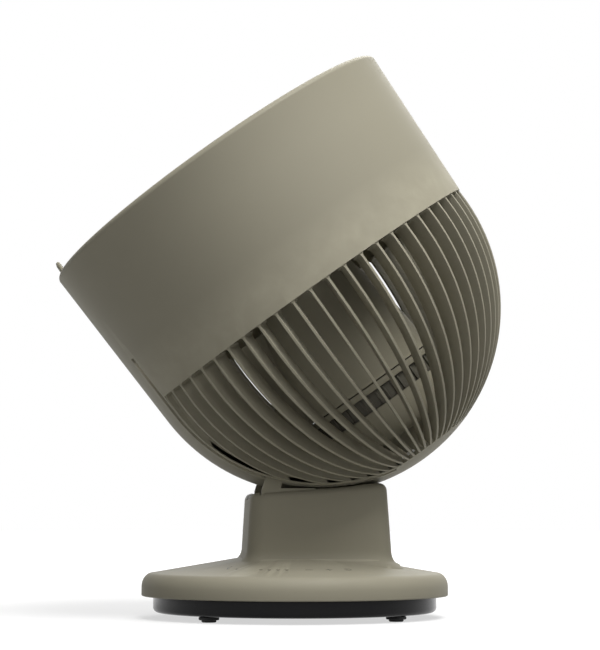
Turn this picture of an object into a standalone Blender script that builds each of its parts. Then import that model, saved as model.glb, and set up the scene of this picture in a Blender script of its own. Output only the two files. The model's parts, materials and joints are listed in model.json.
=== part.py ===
"""Air circulator fan: a ball-backed head that tilts on a swinging base.

Metres, +Z up. The fan blows towards -Y and up. The origin is on the table, under the middle of the
object's box. The head is modelled on its own axis, +Z forward, under an empty that tilts it. The base
pieces stand on the swing axis.
"""
import math

import bmesh
import bpy
from mathutils import Vector

# Head: a ball behind and a slightly flared drum in front, both on the head's own axis
BALL_R = 0.1190
HOOD_FLARE = math.radians(2.45)
HOOD_FRONT = 0.1105
HOOD_WALL = 0.0026
LIP_R = 0.0024
SLOT_TOP = 0.0080
CAP_ANGLE = math.radians(160.0)
TILT_SHOWN = math.radians(54.4)
SEAT_H = 0.0925
SEAT_T = 0.0020
SEAT_IN = 0.0030

# Cage ribs
RIB_COUNT = 60
RIB_T = 0.0016
RIB_DEPTH = 0.0115
RIB_DEPTH_REAR = 0.0060
RIB_STEPS = 4
RIB_END = math.radians(0.8)
BAND_HALF = 0.0364
BAND_WALL = 0.0028
BAND_EDGE = 0.0014

# Tilt joint: rails in the head, hooks on the neck. Shoe angles are counted from straight down
TILT_MIN = math.radians(0.0)
TILT_MAX = math.radians(90.0)
SLOT_IN = 0.0303
SLOT_OUT = 0.0347
SLOT_ROOM = 0.0004
RAIL_IN = 0.0235
RAIL_T = 0.0030
PAD_T = 0.0012
HOOK_T = 0.0032
HOOK_IN = 0.0245
SHOE_FRONT = math.radians(17.3)
SHOE_BACK = math.radians(12.0)
HOOK_BACK = math.radians(2.5)
LEDGE_BACK = 0.0030
LEDGE_RISE = 0.0018
END_ROOM = math.radians(1.2)

# Motor pod, by height on the head's axis from the ball's centre
BOSS_R = 0.0200
BOSS_WALL = 0.0050
POD_END = -0.0960
POD_END_STEP = 0.0060
POD_SIDE = -0.0880
VENT_LOW = -0.0740
VENT_HIGH = -0.0643
VENT_STEP = 0.0015
PLATE_HIGH = -0.0601
PLATE_T = 0.0025
POD_R = 0.0460
POD_SPLIT = -0.0593
POD_NOSE = 0.0300
POD_NOSE_R = 0.0330
POD_WALL = 0.0025
STRUT_HALF = 0.0050
STRUT_FRONT = 0.0020
STRUT_FRONT_R = 0.0550
STRUT_KNEE = ((0.0587, -0.0370), (0.0662, -0.0464))
STRUT_FOOT = (math.radians(130.0), math.radians(138.0))
STRUT_END = -0.0605
SHAFT_R = 0.0030
SHAFT_END = 0.0840
BEARING_R = 0.0080
BEARING_T = 0.0050
BEARING_HEIGHTS = (-0.0570, -0.0300)
TUBE_WALL = 0.0030
TUBE_TOP = -0.0240
CORE_R = 0.0260
CORE_LOW = -0.0430
CORE_HIGH = -0.0310
WINDING_T = 0.0055
MAGNET_T = 0.0028
ROTOR_R = 0.0320
ROTOR_WALL = 0.0020
ROTOR_LOW = -0.0520
ROTOR_HIGH = -0.0190

# Fan, ahead of the tilt hooks' reach
BLADE_COUNT = 7
BLADE_R = 0.1120
BLADE_T = 0.0018
BLADE_MIDDLE = 0.0580
BLADE_DEEP = 0.0320
BLADE_DEEP_TIP = 0.0240
BLADE_WIDE = math.radians(42.0)
BLADE_LEAN = math.radians(14.0)
HUB_R = 0.0330
HUB_LOW = 0.0380
HUB_HIGH = 0.0780
HUB_WALL = 0.0025
HUB_CORE_R = 0.0075
NUT_R = 0.0110
NUT_T = 0.0085

# Front grille
VANE_COUNT = 28
VANE_T = 0.0014
VANE_DEPTH = 0.0060
VANE_SWEEP = math.radians(46.0)
VANE_DOME = 0.0060
GRILLE_RIM = 0.0045
GRILLE_RIM_DEPTH = 0.0120
GRILLE_HUB_R = 0.0300
GRILLE_HUB_T = 0.0025
BADGE_R = 0.0285
BADGE_T = 0.0030
TAB_W = 0.0160
TAB_T = 0.0025
TAB_OUT = 0.0072
TAB_ROOT = 0.0080

# Neck and base top, one moulding. The neck's reaches along Y are from the tilt pivot
SWING_BACK = 0.0129
NECK_HALF_X = 0.0370
NECK_FRONT = 0.0450
NECK_REAR = 0.0450
NECK_CORNER = 0.0130
NECK_TOP = 0.0790
NECK_OVER = 0.0015
NECK_RISE = 0.0058
NECK_RISE_START = 0.0350
NECK_ROOF = 0.0070
NECK_WALL = 0.0030
NECK_TOP_ROUND = 0.0065
NECK_REAR_ROUND = 0.0030
NECK_FOOT_ROUND = 0.0090
NECK_SIDE_FOOT = 0.0045
NECK_FOOT_Z = 0.0345
DISH_ROOM = 0.0018
DISH_FACETS = 48
SEAT_PAD_R = 0.0060
SKIRT_BOTTOM = 0.0138
SKIRT_BREAK = 0.0195
SKIRT_OVER = 0.0074
SHOULDER_IN = 0.0068
SHOULDER_Z = 0.0282
CROWN_R = 0.0380
CROWN_Z = 0.0371
CROWN_PEAK = 0.0400
TOP_WALL = 0.0028

# Lower base
LOWER_R = 0.0894
LOWER_Z = 0.0035
LOWER_TOP = 0.0156
LOWER_FLOOR = 0.0025
LOWER_WALL = 0.0024
LOWER_ROUND = 0.0032
FEET_IN = 0.0091
FOOT_R = 0.0062
FOOT_NOSE_R = 0.0045
FOOT_STEP = 0.0014
PLUG_R = 0.0030
PLUG_END = 0.0054

# Turntable
SWING_LIMIT = math.radians(45.0)
FLOOR_T = 0.0023
HUB_TUBE_R = 0.0175
HUB_TUBE_WALL = 0.0035
PILLAR_R = 0.0240
PILLAR_TOP = 0.0120
PILLAR_LIP = 0.0024
RETAINER_R = 0.0205
RETAINER_T = 0.0016
RETAINER_DROP = 0.0004
RING_EDGE = 0.0099
RING_W = 0.0055
BALLAST_IN = 0.0520
BALLAST_ROOM = 0.0020
BALLAST_T = 0.0060
GEAR_MODULE = 0.0015
GEAR_TEETH = 40
PINION_TEETH = 12
GEAR_T = 0.0042
BACKLASH = 0.0004
PINION_SHAFT_R = 0.0020
SWING_MOTOR_R = 0.0140
SWING_MOTOR_T = 0.0110

# Electronics, on the base's right-hand side
BOARD_IN = 0.0500
BOARD_EDGE = 0.0165
BOARD_LOW_Y = -0.0480
BOARD_HIGH_Y = 0.0330
BOARD_T = 0.0016
BOARD_Z = 0.0215
BOARD_LEG_R = 0.0020
MAT_T = 0.0008
CONTROL_IN = 0.0200
KEY_TURNS = tuple(math.radians(turn) for turn in (-38.0, 2.0, 12.0, 22.0))
KEY_PAD_R = 0.0030
LAMP_COUNT = 4
LAMP_MIDDLE = math.radians(-15.5)
LAMP_PITCH = math.radians(4.3)
LAMP_R = 0.0009
INLET_W = 0.0110
INLET_D = 0.0090
INLET_HIGH = 0.0140
INLET_BORE = 0.0030

# Screws
SCREW_R = 0.0015
SCREW_HEAD_R = 0.0027
SCREW_HEAD_T = 0.0014
BOSS_SCREW_R = 0.0040
FLOOR_SCREW_IN = 0.0061
SCREW_LONG = 0.0070

GAP = 0.0003
RUN = 0.0005
BITE = 0.0010
NUDGE = 0.0002
FACETS = 28

BACK_LEAN = math.pi / 2 - TILT_SHOWN
HOOD_EDGE_R = BALL_R / math.cos(HOOD_FLARE)


def hood_radius(height):
    """Outer radius of the head's drum at a height ahead of the ball's centre."""
    return HOOD_EDGE_R + height * math.tan(HOOD_FLARE)


PIVOT_Z = NECK_TOP - NECK_OVER + BALL_R
LEDGE_TOP = NECK_TOP + LEDGE_RISE
POD_END_R = POD_R - POD_END_STEP
VENT_R = POD_R - VENT_STEP
SKIRT_R = LOWER_R + SKIRT_OVER
SHOULDER_R = SKIRT_R - SHOULDER_IN
FEET_R = LOWER_R - FEET_IN
RING_OUT = LOWER_R - RING_EDGE
RING_IN = RING_OUT - RING_W
BALLAST_OUT = RING_IN - BALLAST_ROOM
BALLAST_SCREW_RING = (BALLAST_IN + BALLAST_OUT) / 2
BOARD_OUT = SHOULDER_R - BOARD_EDGE
CONTROL_RING = SHOULDER_R - CONTROL_IN
FLOOR_SCREW_RING = LOWER_R - FLOOR_SCREW_IN
GRILLE_R = hood_radius(SEAT_H) - HOOD_WALL - GAP
TAB_R = math.sqrt((GRILLE_R - GAP) ** 2 - (TAB_W / 2) ** 2)
TAB_END = HOOD_FRONT + TAB_OUT
FRONT_REACH = TAB_R * math.cos(BACK_LEAN) + TAB_END * math.sin(BACK_LEAN)
PIVOT_Y = (FRONT_REACH - BALL_R) / 2
SWING_Y = PIVOT_Y - SWING_BACK
FLOOR_Z = LOWER_TOP + 2 * GAP
FLOOR_HIGH = FLOOR_Z + FLOOR_T
BASE_FLOOR = LOWER_Z + LOWER_FLOOR
GEAR_Z = BASE_FLOOR + GAP
GEAR_R = GEAR_MODULE * GEAR_TEETH / 2
PINION_R = GEAR_MODULE * PINION_TEETH / 2
RAIL_OUT_X = SLOT_IN - SLOT_ROOM
RAIL_OUTER = math.sqrt((BALL_R - BAND_WALL) ** 2 - RAIL_OUT_X ** 2) - 2 * GAP
RAIL_INNER = RAIL_OUTER - RAIL_T
PAD_INNER = RAIL_INNER - GAP - PAD_T
HOOK_OUTER = PAD_INNER - GAP
HOOK_INNER = HOOK_OUTER - HOOK_T
BRIDGE_TOP = NECK_TOP - NECK_ROOF - 0.0022
BRIDGE_T = 0.0030
TUBE_IN = BEARING_R + GAP
TUBE_OUT = TUBE_IN + TUBE_WALL

for old in list(bpy.data.objects):
    bpy.data.objects.remove(old, do_unlink=True)
parts = bpy.data.collections.new("air_circulator_fan")
cutters = bpy.data.collections.new("cutters")
for group in (parts, cutters):
    bpy.context.scene.collection.children.link(group)


def finish(name, colour, roughness, metallic=0.0):
    """A Principled material with one colour."""
    made = bpy.data.materials.new(name)
    made.use_nodes = True
    shader = made.node_tree.nodes["Principled BSDF"]
    shader.inputs["Base Color"].default_value = (*colour, 1.0)
    shader.inputs["Roughness"].default_value = roughness
    shader.inputs["Metallic"].default_value = metallic
    made.diffuse_color = (*colour, 1.0)
    return made


TAUPE = finish("taupe_plastic", (0.235, 0.220, 0.170), 0.50)
BLACK = finish("black_gloss_plastic", (0.014, 0.014, 0.016), 0.18)
DARK = finish("dark_plastic", (0.030, 0.028, 0.024), 0.45)
RUBBER = finish("black_rubber", (0.020, 0.020, 0.020), 0.85)
STEEL = finish("bright_steel", (0.55, 0.55, 0.56), 0.30, 1.0)
MAGNET = finish("dark_magnet", (0.06, 0.06, 0.065), 0.50, 0.6)
COPPER = finish("copper_winding", (0.60, 0.27, 0.12), 0.35, 1.0)
WHITE = finish("white_slide_plastic", (0.80, 0.79, 0.76), 0.40)
GREEN = finish("green_board", (0.03, 0.16, 0.07), 0.45)
FELT = finish("grey_felt", (0.10, 0.10, 0.10), 0.95)
LENS = finish("smoked_lens", (0.05, 0.05, 0.05), 0.20)


def empty(name, spot, lean=0.0, parent=None):
    """An empty on a joint's axis, leaned back about X."""
    made = bpy.data.objects.new(name, None)
    cutters.objects.link(made)
    made.location = spot
    made.rotation_euler = (lean, 0.0, 0.0)
    made.parent = parent
    return made


head = empty("tilt_axis", (0.0, PIVOT_Y, PIVOT_Z), BACK_LEAN)
head_level = empty("tilt_axis_level", (0.0, 0.0, 0.0), -BACK_LEAN, head)
spin = empty("fan_axis", (0.0, 0.0, 0.0), parent=head)
base = empty("lower_base_centre", (0.0, SWING_Y, 0.0))
turret = empty("swing_axis", (0.0, SWING_Y, 0.0))
pivot = empty("neck_pivot", (0.0, SWING_BACK, PIVOT_Z), parent=turret)
lowest = empty("lowest_tilt", (0.0, 0.0, 0.0), math.pi / 2 - TILT_MIN, pivot)
pinion = empty("pinion_axis", (0.0, GEAR_R + PINION_R, 0.0), parent=turret)


def place(mesh, name, parent, look=None):
    """An object from a mesh: a part when it has a finish, otherwise a cutter."""
    made = bpy.data.objects.new(name, mesh)
    made.parent = parent
    if look is None:
        cutters.objects.link(made)
        made.hide_render = True
        made.display_type = "WIRE"
    else:
        parts.objects.link(made)
        mesh.materials.append(look)
    return made


def turned(name, outline, parent, look=None, steps=FACETS, start=0.0):
    """Turn a closed outline of (radius, height) about the parent's Z, from a start angle."""
    loop = zip(outline, outline[1:] + outline[:1])
    area = sum(a[0] * b[1] - b[0] * a[1] for a, b in loop)
    points = outline[::-1] if area > 0 else list(outline)
    links = [(k, (k + 1) % len(points)) for k in range(len(points))]
    links = [(a, b) for a, b in links if points[a][0] > 0 or points[b][0] > 0]
    mesh = bpy.data.meshes.new(name)
    mesh.from_pydata([on_ring(radius, start, height) for radius, height in points], links, [])
    made = place(mesh, name, parent, look)
    screw = made.modifiers.new("turn", "SCREW")
    screw.steps = steps
    screw.render_steps = steps
    screw.use_merge_vertices = True
    screw.merge_threshold = 0.00001
    return made


def from_bmesh(shape, name, parent, look=None):
    """Close a bmesh into an object, with its faces pointing out."""
    bmesh.ops.recalc_face_normals(shape, faces=shape.faces)
    mesh = bpy.data.meshes.new(name)
    shape.to_mesh(mesh)
    shape.free()
    return place(mesh, name, parent, look)


def box(name, low, high, parent, look=None, round_by=0.0):
    """A box between two corners, with its edges rounded when asked."""
    shape = bmesh.new()
    bmesh.ops.create_cube(shape, size=1.0)
    for vertex in shape.verts:
        vertex.co = [(a + b) / 2 + c * (b - a) for a, b, c in zip(low, high, vertex.co)]
    made = from_bmesh(shape, name, parent, look)
    if round_by:
        bevel = made.modifiers.new("round", "BEVEL")
        bevel.width = round_by
        bevel.segments = 2
    return made


def skin_rings(shape, rings):
    """Close a stack of vertex rings into a solid."""
    for lower, upper in zip(rings, rings[1:]):
        for k in range(len(lower)):
            nxt = (k + 1) % len(lower)
            shape.faces.new((lower[k], lower[nxt], upper[nxt], upper[k]))
    shape.faces.new(rings[0])
    shape.faces.new(rings[-1])


def posts(name, spots, profile, parent, look=None, steps=8):
    """The same stepped round post at several spots, as separate solids."""
    shape = bmesh.new()
    turns = [2 * math.pi * k / steps for k in range(steps)]
    for x, y, z in spots:
        rings = []
        for radius, height in profile:
            round_by = [(x + radius * math.cos(t), y + radius * math.sin(t), z + height) for t in turns]
            rings.append([shape.verts.new(point) for point in round_by])
        skin_rings(shape, rings)
    return from_bmesh(shape, name, parent, look)


def each_post(name, spots, profile, parent, look, steps=8):
    """The same stepped round post at several spots, each its own numbered object."""
    return [posts(f"{name}_{k + 1}", [spot], profile, parent, look, steps) for k, spot in enumerate(spots)]


def boolean(made, others, how):
    """Cut, join or intersect an object with others, exactly."""
    for other in others:
        step = made.modifiers.new(how.lower(), "BOOLEAN")
        step.operation = how
        step.object = other
        step.solver = "EXACT"
    return made


def cut(made, *others):
    """Cut every other shape out of an object."""
    return boolean(made, others, "DIFFERENCE")


def join(made, *others):
    """Join every other shape to an object."""
    return boolean(made, others, "UNION")


def strips(name, thickness, parent, look, count, steps, rows, at):
    """Bent strips, one for each turn k, given a thickness; at(k, u, v) is a point for u, v from 0 to 1."""
    shape = bmesh.new()
    for k in range(count):
        made = bmesh.ops.create_grid(shape, x_segments=steps, y_segments=rows, size=0.5)
        for vertex in made["verts"]:
            vertex.co = at(k, vertex.co.x + 0.5, vertex.co.y + 0.5)
    mesh = bpy.data.meshes.new(name)
    shape.to_mesh(mesh)
    shape.free()
    made = place(mesh, name, parent, look)
    solid = made.modifiers.new("thickness", "SOLIDIFY")
    solid.thickness = thickness
    solid.offset = 0.0
    return made


def rounded_loop(half_x, low_y, high_y, corner, height, arc=4):
    """The points of a rounded rectangle at one height, counter-clockwise."""
    centres = ((half_x - corner, high_y - corner), (corner - half_x, high_y - corner),
               (corner - half_x, low_y + corner), (half_x - corner, low_y + corner))
    loop = []
    for quarter, (x, y) in enumerate(centres):
        turns = [math.pi / 2 * (quarter + k / arc) for k in range(arc + 1)]
        loop += [(x + corner * math.cos(t), y + corner * math.sin(t), height) for t in turns]
    return loop


def loft(name, loops, parent, look=None):
    """A closed solid through a stack of loops with as many points each."""
    shape = bmesh.new()
    skin_rings(shape, [[shape.verts.new(point) for point in loop] for loop in loops])
    return from_bmesh(shape, name, parent, look)


def arc_bar(name, across, inner, outer, start, end, parent, look=None, steps=24):
    """A bar of oblong section bent about X, by angles from straight down towards the front."""
    shape = bmesh.new()
    rings = []
    for k in range(steps + 1):
        turn = start + (end - start) * k / steps
        section = ((across[0], inner), (across[1], inner), (across[1], outer), (across[0], outer))
        rings.append([shape.verts.new((x, -rho * math.sin(turn), -rho * math.cos(turn)))
                      for x, rho in section])
    skin_rings(shape, rings)
    return from_bmesh(shape, name, parent, look)


def sides(inner, outer):
    """The two mirrored ranges across X, left and right, between two distances from the middle."""
    return (("left", (-outer, -inner)), ("right", (inner, outer)))


def on_ring(radius, turn, height=0.0):
    """A point on a ring about Z, its turn counted from +X."""
    return radius * math.cos(turn), radius * math.sin(turn), height


def on_ball(theta, radius):
    """Radius and height of a point on a ball, by its angle from the head's forward axis."""
    return radius * math.sin(theta), radius * math.cos(theta)


def head_line(inset, steps=8):
    """The head's outline from the drum's front to the rear pole, moved inwards by inset."""
    points = [(hood_radius(HOOD_FRONT) - inset, HOOD_FRONT), (hood_radius(SLOT_TOP) - inset, SLOT_TOP)]
    start = math.pi / 2 + HOOD_FLARE
    points += [on_ball(start + (math.pi - start) * k / steps, BALL_R - inset) for k in range(steps)]
    return points + [(0.0, inset - BALL_R)]


def head_inside():
    """The head shell's inner outline, from the front to the rear pole."""
    wall = hood_radius(SEAT_H) - HOOD_WALL
    line = [(hood_radius(HOOD_FRONT) - HOOD_WALL, HOOD_FRONT), (wall, SEAT_H), (wall - SEAT_IN, SEAT_H),
            (wall - SEAT_IN, SEAT_H - SEAT_T), (wall, SEAT_H - SEAT_T)]
    top = SLOT_TOP + BITE
    start = math.acos(top / (BALL_R - RIB_DEPTH))
    line += [(hood_radius(top) - HOOD_WALL, top)]
    end = CAP_ANGLE + RIB_END
    for k in range(RIB_STEPS + 1):
        part = k / RIB_STEPS
        depth = RIB_DEPTH + (RIB_DEPTH_REAR - RIB_DEPTH) * part ** 2
        line.append(on_ball(start + (end - start) * part, BALL_R - depth))
    inner = BALL_R - HOOD_WALL
    boss_turn = math.pi - math.asin(BOSS_R / inner)
    line += [on_ball(end + (boss_turn - end) * k / 2, inner) for k in range(3)]
    bore = BOSS_R - BOSS_WALL
    return line + [(BOSS_R, POD_END - GAP), (bore, POD_END - GAP),
                   (bore, -math.sqrt(inner ** 2 - bore ** 2)), (0.0, -inner)]


def rib_gaps():
    """The wedges between neighbouring cage ribs, all in one mesh."""
    outline = [(BALL_R * 0.8, SLOT_TOP), (BALL_R * 1.3, SLOT_TOP), (BALL_R * 1.3, -BALL_R * 1.22),
               on_ball(CAP_ANGLE, BALL_R * 1.3), on_ball(CAP_ANGLE, BALL_R * 0.85)]
    pitch = 2 * math.pi / RIB_COUNT
    shape = bmesh.new()
    for k in range(RIB_COUNT):
        rings = []
        for turn, offset in ((pitch * k, RIB_T / 2), (pitch * (k + 1), -RIB_T / 2)):
            rings.append([shape.verts.new(on_ring(radius, turn + math.asin(offset / radius), height))
                          for radius, height in outline])
        skin_rings(shape, rings)
    return from_bmesh(shape, "rib_gaps", head)


def make_head_shell():
    """Drum, cage ribs, underside band and rear cap, one moulding."""
    front = hood_radius(HOOD_FRONT)
    turns = [math.pi / 2 * k / 2 for k in range(1, 3)]
    lip = [(front - LIP_R + LIP_R * math.cos(t), HOOD_FRONT - LIP_R + LIP_R * math.sin(t)) for t in turns]
    outer = [(hood_radius(HOOD_FRONT - LIP_R), HOOD_FRONT - LIP_R)] + head_line(0.0)[1:]
    shell = turned("head_shell", lip[::-1] + outer + head_inside()[::-1], head, TAUPE, RIB_COUNT,
                   math.pi / RIB_COUNT)
    band = box("band_keep", (-BAND_HALF, -2 * BALL_R, -2 * BALL_R), (BAND_HALF, 0.0, BALL_R), head)
    cut(shell, cut(rib_gaps(), band))
    top = SLOT_TOP + 3 * BITE
    line = [(0.0, top), (hood_radius(top) - BAND_WALL, top)] + head_line(BAND_WALL, 24)[2:]
    deep = turned("band_hollow", line, head, None, RIB_COUNT, math.pi / RIB_COUNT)
    inside = box("band_inside", (BAND_EDGE - BAND_HALF, -2 * BALL_R, -2 * BALL_R),
                 (BAND_HALF - BAND_EDGE, -BOSS_R - BITE, BALL_R), head)
    cut(shell, boolean(deep, [inside], "INTERSECT"))
    high = TILT_SHOWN - TILT_MIN + SHOE_FRONT + END_ROOM
    low = TILT_SHOWN - TILT_MAX + SHOE_BACK - END_ROOM
    for side, across in sides(SLOT_IN, SLOT_OUT):
        slot = arc_bar(f"tilt_slot_{side}", across, BALL_R * 0.8, BALL_R * 1.2, low, high, head_level, None, 16)
        cut(shell, slot)
    holes = [on_ring(BOSS_R - BOSS_WALL / 2, t, POD_END - SCREW_LONG - BITE) for t in pod_screw_turns()]
    depth = SCREW_LONG + 2 * BITE
    cut(shell, posts("boss_holes", holes, [(SCREW_R + GAP, 0.0), (SCREW_R + GAP, depth)], head))


def pod_screw_turns():
    """Where the three screws that hold the motor pod stand around the head's axis."""
    return [2 * math.pi * (k + 0.25) / 3 for k in range(3)]


def make_tilt_rails():
    """Two curved slide rails inside the band."""
    high = TILT_SHOWN - TILT_MIN + SHOE_FRONT
    low = TILT_SHOWN - TILT_MAX + HOOK_BACK
    for side, across in sides(RAIL_IN, RAIL_OUT_X):
        arc_bar(f"tilt_rail_{side}", across, RAIL_INNER, RAIL_OUTER, low, high, head_level, WHITE, 20)


def make_pod():
    """The motor pod: rear cup, dark vent ring, motor plate and front cover."""
    cup = turned("pod_rear_cup", [(POD_R, VENT_LOW - GAP), (POD_R - POD_WALL / 2, POD_SIDE),
                                  (POD_END_R, POD_END), (0.0, POD_END), (0.0, POD_END + POD_WALL),
                                  (POD_END_R - POD_WALL, POD_END + POD_WALL),
                                  (POD_R - 1.5 * POD_WALL, POD_SIDE + POD_WALL / 2),
                                  (POD_R - POD_WALL, VENT_LOW - GAP)], head, TAUPE)
    spots = [on_ring(BOSS_R - BOSS_WALL / 2, t, POD_END) for t in pod_screw_turns()]
    cut(cup, posts("cup_holes", spots, [(SCREW_R + GAP, -BITE), (SCREW_R + GAP, POD_WALL + BITE)], head))
    screw = [(SCREW_R, GAP - SCREW_LONG), (SCREW_R, POD_WALL + GAP), (SCREW_HEAD_R, POD_WALL + GAP),
             (SCREW_HEAD_R, POD_WALL + GAP + SCREW_HEAD_T)]
    each_post("pod_screw", spots, screw, head, STEEL)
    turned("pod_vent_ring", [(VENT_R, VENT_HIGH), (VENT_R, VENT_LOW), (VENT_R - POD_WALL, VENT_LOW),
                             (VENT_R - POD_WALL, VENT_HIGH)], head, DARK)
    low = VENT_HIGH + GAP
    web = low + PLATE_T
    turned("motor_mount", [(POD_R, PLATE_HIGH), (POD_R, low), (0.0, low), (0.0, web), (TUBE_IN, web),
                           (TUBE_IN, TUBE_TOP), (TUBE_OUT, TUBE_TOP), (TUBE_OUT, web),
                           (POD_R - POD_WALL, web), (POD_R - POD_WALL, PLATE_HIGH)], head, TAUPE)
    waist = (POD_SPLIT + POD_NOSE) / 2
    waist_r = (POD_R + POD_NOSE_R) / 2 + POD_WALL
    turned("pod_front_cover", [(POD_R - GAP, POD_SPLIT), (POD_R - GAP, POD_SPLIT + POD_WALL),
                               (waist_r, waist), (POD_NOSE_R, POD_NOSE - POD_WALL),
                               (POD_NOSE_R - POD_WALL, POD_NOSE), (SHAFT_R + 2 * BITE, POD_NOSE),
                               (SHAFT_R + 2 * BITE, POD_NOSE - POD_WALL),
                               (POD_NOSE_R - POD_WALL, POD_NOSE - POD_WALL), (waist_r - POD_WALL, waist),
                               (POD_R - GAP - POD_WALL, POD_SPLIT + POD_WALL),
                               (POD_R - GAP - POD_WALL, POD_SPLIT)], head, TAUPE)


def make_pod_strut():
    """Strut that steadies the pod against the band, with the motor's wires along it."""
    reach = (BALL_R - BAND_WALL) * math.cos(math.radians(3.0)) * math.cos(math.radians(5.0)) - 2 * GAP
    beside = POD_R + GAP
    line = [(beside, STRUT_END), (beside, STRUT_FRONT), (STRUT_FRONT_R, STRUT_FRONT), *STRUT_KNEE]
    line += [on_ball(turn, reach) for turn in STRUT_FOOT]
    loft("pod_strut", [[(x, -radius, height) for radius, height in line] for x in (-STRUT_HALF, STRUT_HALF)],
         head, TAUPE)


def make_motor():
    """Stator on the mount's tube, and the rotor can with its magnet on the shaft."""
    bore = TUBE_OUT + GAP
    turned("stator_core", [(CORE_R, CORE_HIGH), (CORE_R, CORE_LOW), (bore, CORE_LOW), (bore, CORE_HIGH)],
           head, STEEL, 24)
    inner, outer = bore + BITE, CORE_R - BITE
    spans = ((CORE_LOW - GAP - WINDING_T, CORE_LOW - GAP), (CORE_HIGH + GAP, CORE_HIGH + GAP + WINDING_T))
    for side, (low, high) in zip(("rear", "front"), spans):
        turned(f"stator_winding_{side}", [(outer - BITE, high), (outer, (low + high) / 2),
                                          (outer - BITE, low), (inner, low), (inner, high)],
               head, COPPER, 24)
    for side, low in zip(("rear", "front"), BEARING_HEIGHTS):
        turned(f"bearing_{side}", [(BEARING_R, low + BEARING_T), (BEARING_R, low),
                                   (SHAFT_R + GAP, low), (SHAFT_R + GAP, low + BEARING_T)],
               head, STEEL, 20)
    shaft_low = BEARING_HEIGHTS[0] - BITE
    turned("motor_shaft", [(0.0, SHAFT_END), (SHAFT_R - BITE / 2, SHAFT_END), (SHAFT_R, SHAFT_END - BITE / 2),
                           (SHAFT_R, shaft_low), (0.0, shaft_low)], spin, STEEL, 16)
    bore = SHAFT_R + GAP
    top = ROTOR_HIGH - ROTOR_WALL
    turned("rotor_can", [(bore, ROTOR_HIGH), (ROTOR_R - ROTOR_WALL, ROTOR_HIGH), (ROTOR_R, top),
                         (ROTOR_R, ROTOR_LOW), (ROTOR_R - ROTOR_WALL, ROTOR_LOW),
                         (ROTOR_R - ROTOR_WALL, top), (bore, top)], spin, STEEL, 28)
    out = ROTOR_R - ROTOR_WALL - GAP
    turned("rotor_magnet", [(out, CORE_HIGH + BITE), (out, CORE_LOW - BITE), (out - MAGNET_T, CORE_LOW - BITE),
                            (out - MAGNET_T, CORE_HIGH + BITE)], spin, MAGNET, 28)


def make_fan():
    """Hub with swept blades, and the nut that holds it on the shaft."""
    bore = SHAFT_R + GAP
    root = HUB_HIGH - HUB_WALL
    fan = turned("fan_blades", [(bore, HUB_HIGH), (HUB_R - 2 * HUB_WALL, HUB_HIGH), (HUB_R, root - HUB_WALL),
                                (HUB_R, HUB_LOW), (HUB_R - HUB_WALL, HUB_LOW),
                                (HUB_R - HUB_WALL, root - HUB_WALL), (HUB_R - 3 * HUB_WALL, root),
                                (HUB_CORE_R, root), (HUB_CORE_R, HUB_LOW + HUB_CORE_R),
                                (bore, HUB_LOW + HUB_CORE_R)], spin, DARK, 28)

    def blade_point(k, u, v):
        radius = HUB_R - BITE + u * (BLADE_R - HUB_R + BITE)
        deep = BLADE_DEEP + (BLADE_DEEP_TIP - BLADE_DEEP) * u
        around = 2 * math.pi * k / BLADE_COUNT + BLADE_WIDE * (v - 0.5) + BLADE_LEAN * u * u
        curve = 0.12 * deep * math.cos(math.pi * (v - 0.5))
        return Vector(on_ring(radius, around, BLADE_MIDDLE + deep * (v - 0.5) + curve))

    join(fan, strips("blade_blanks", BLADE_T, spin, None, BLADE_COUNT, 3, 3, blade_point))
    low = HUB_HIGH + GAP
    high = low + NUT_T
    turned("fan_nut", [(0.0, high), (NUT_R * 0.6, high), (NUT_R * 0.9, low + NUT_T / 2), (NUT_R, low),
                       (bore, low), (bore, SHAFT_END + GAP), (0.0, SHAFT_END + GAP)], spin, DARK, 24)


def make_grille():
    """Front grille with swirled vanes, its release tab, and the plain centre cap."""
    low = SEAT_H + GAP
    high = low + GRILLE_RIM_DEPTH
    inner = GRILLE_R - GRILLE_RIM
    grille = turned("front_grille", [(GRILLE_R, high), (GRILLE_R, low), (inner, low), (inner, high)],
                    head, TAUPE, 44)
    plane = low + GRILLE_RIM_DEPTH / 2 - VANE_DEPTH / 2
    hub_low = plane + VANE_DOME

    def vane_point(k, u, v):
        start = GRILLE_HUB_R - BITE
        radius = start + u * (inner + BITE - start)
        around = 2 * math.pi * k / VANE_COUNT + VANE_SWEEP * u
        return Vector(on_ring(radius, around, plane + VANE_DOME * (1 - u * u) + v * VANE_DEPTH))

    vanes = strips("grille_vanes", VANE_T, head, None, VANE_COUNT, 3, 1, vane_point)
    hub = turned("grille_hub", [(0.0, hub_low + GRILLE_HUB_T), (GRILLE_HUB_R, hub_low + GRILLE_HUB_T),
                                (GRILLE_HUB_R, hub_low), (0.0, hub_low)], head, None, 32)
    tab = box("tab_blank", (-TAB_W / 2, -TAB_R, high - TAB_ROOT), (TAB_W / 2, TAB_T - TAB_R, TAB_END), head)
    join(grille, vanes, hub, tab)
    seat = hub_low + GRILLE_HUB_T + GAP
    crown = [(BADGE_R * math.sin(math.pi / 8 * k), seat + BADGE_T - BADGE_T * 0.5 * (1 - math.cos(
        math.pi / 8 * k))) for k in range(5)]
    turned("grille_cap", crown + [(BADGE_R, seat), (0.0, seat)], head, TAUPE, 28)


def crown_line(inset):
    """The base top's outline from its peak down to the skirt, moved inwards by inset."""
    line = [(0.0, CROWN_PEAK - inset), (CROWN_R, CROWN_Z - inset)]
    for k in range(4):
        turn = math.pi / 6 * k
        line.append((SHOULDER_R - inset + (SKIRT_R - SHOULDER_R) * math.sin(turn),
                     SKIRT_BREAK + (SHOULDER_Z - inset - SKIRT_BREAK) * math.cos(turn)))
    return line


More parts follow.
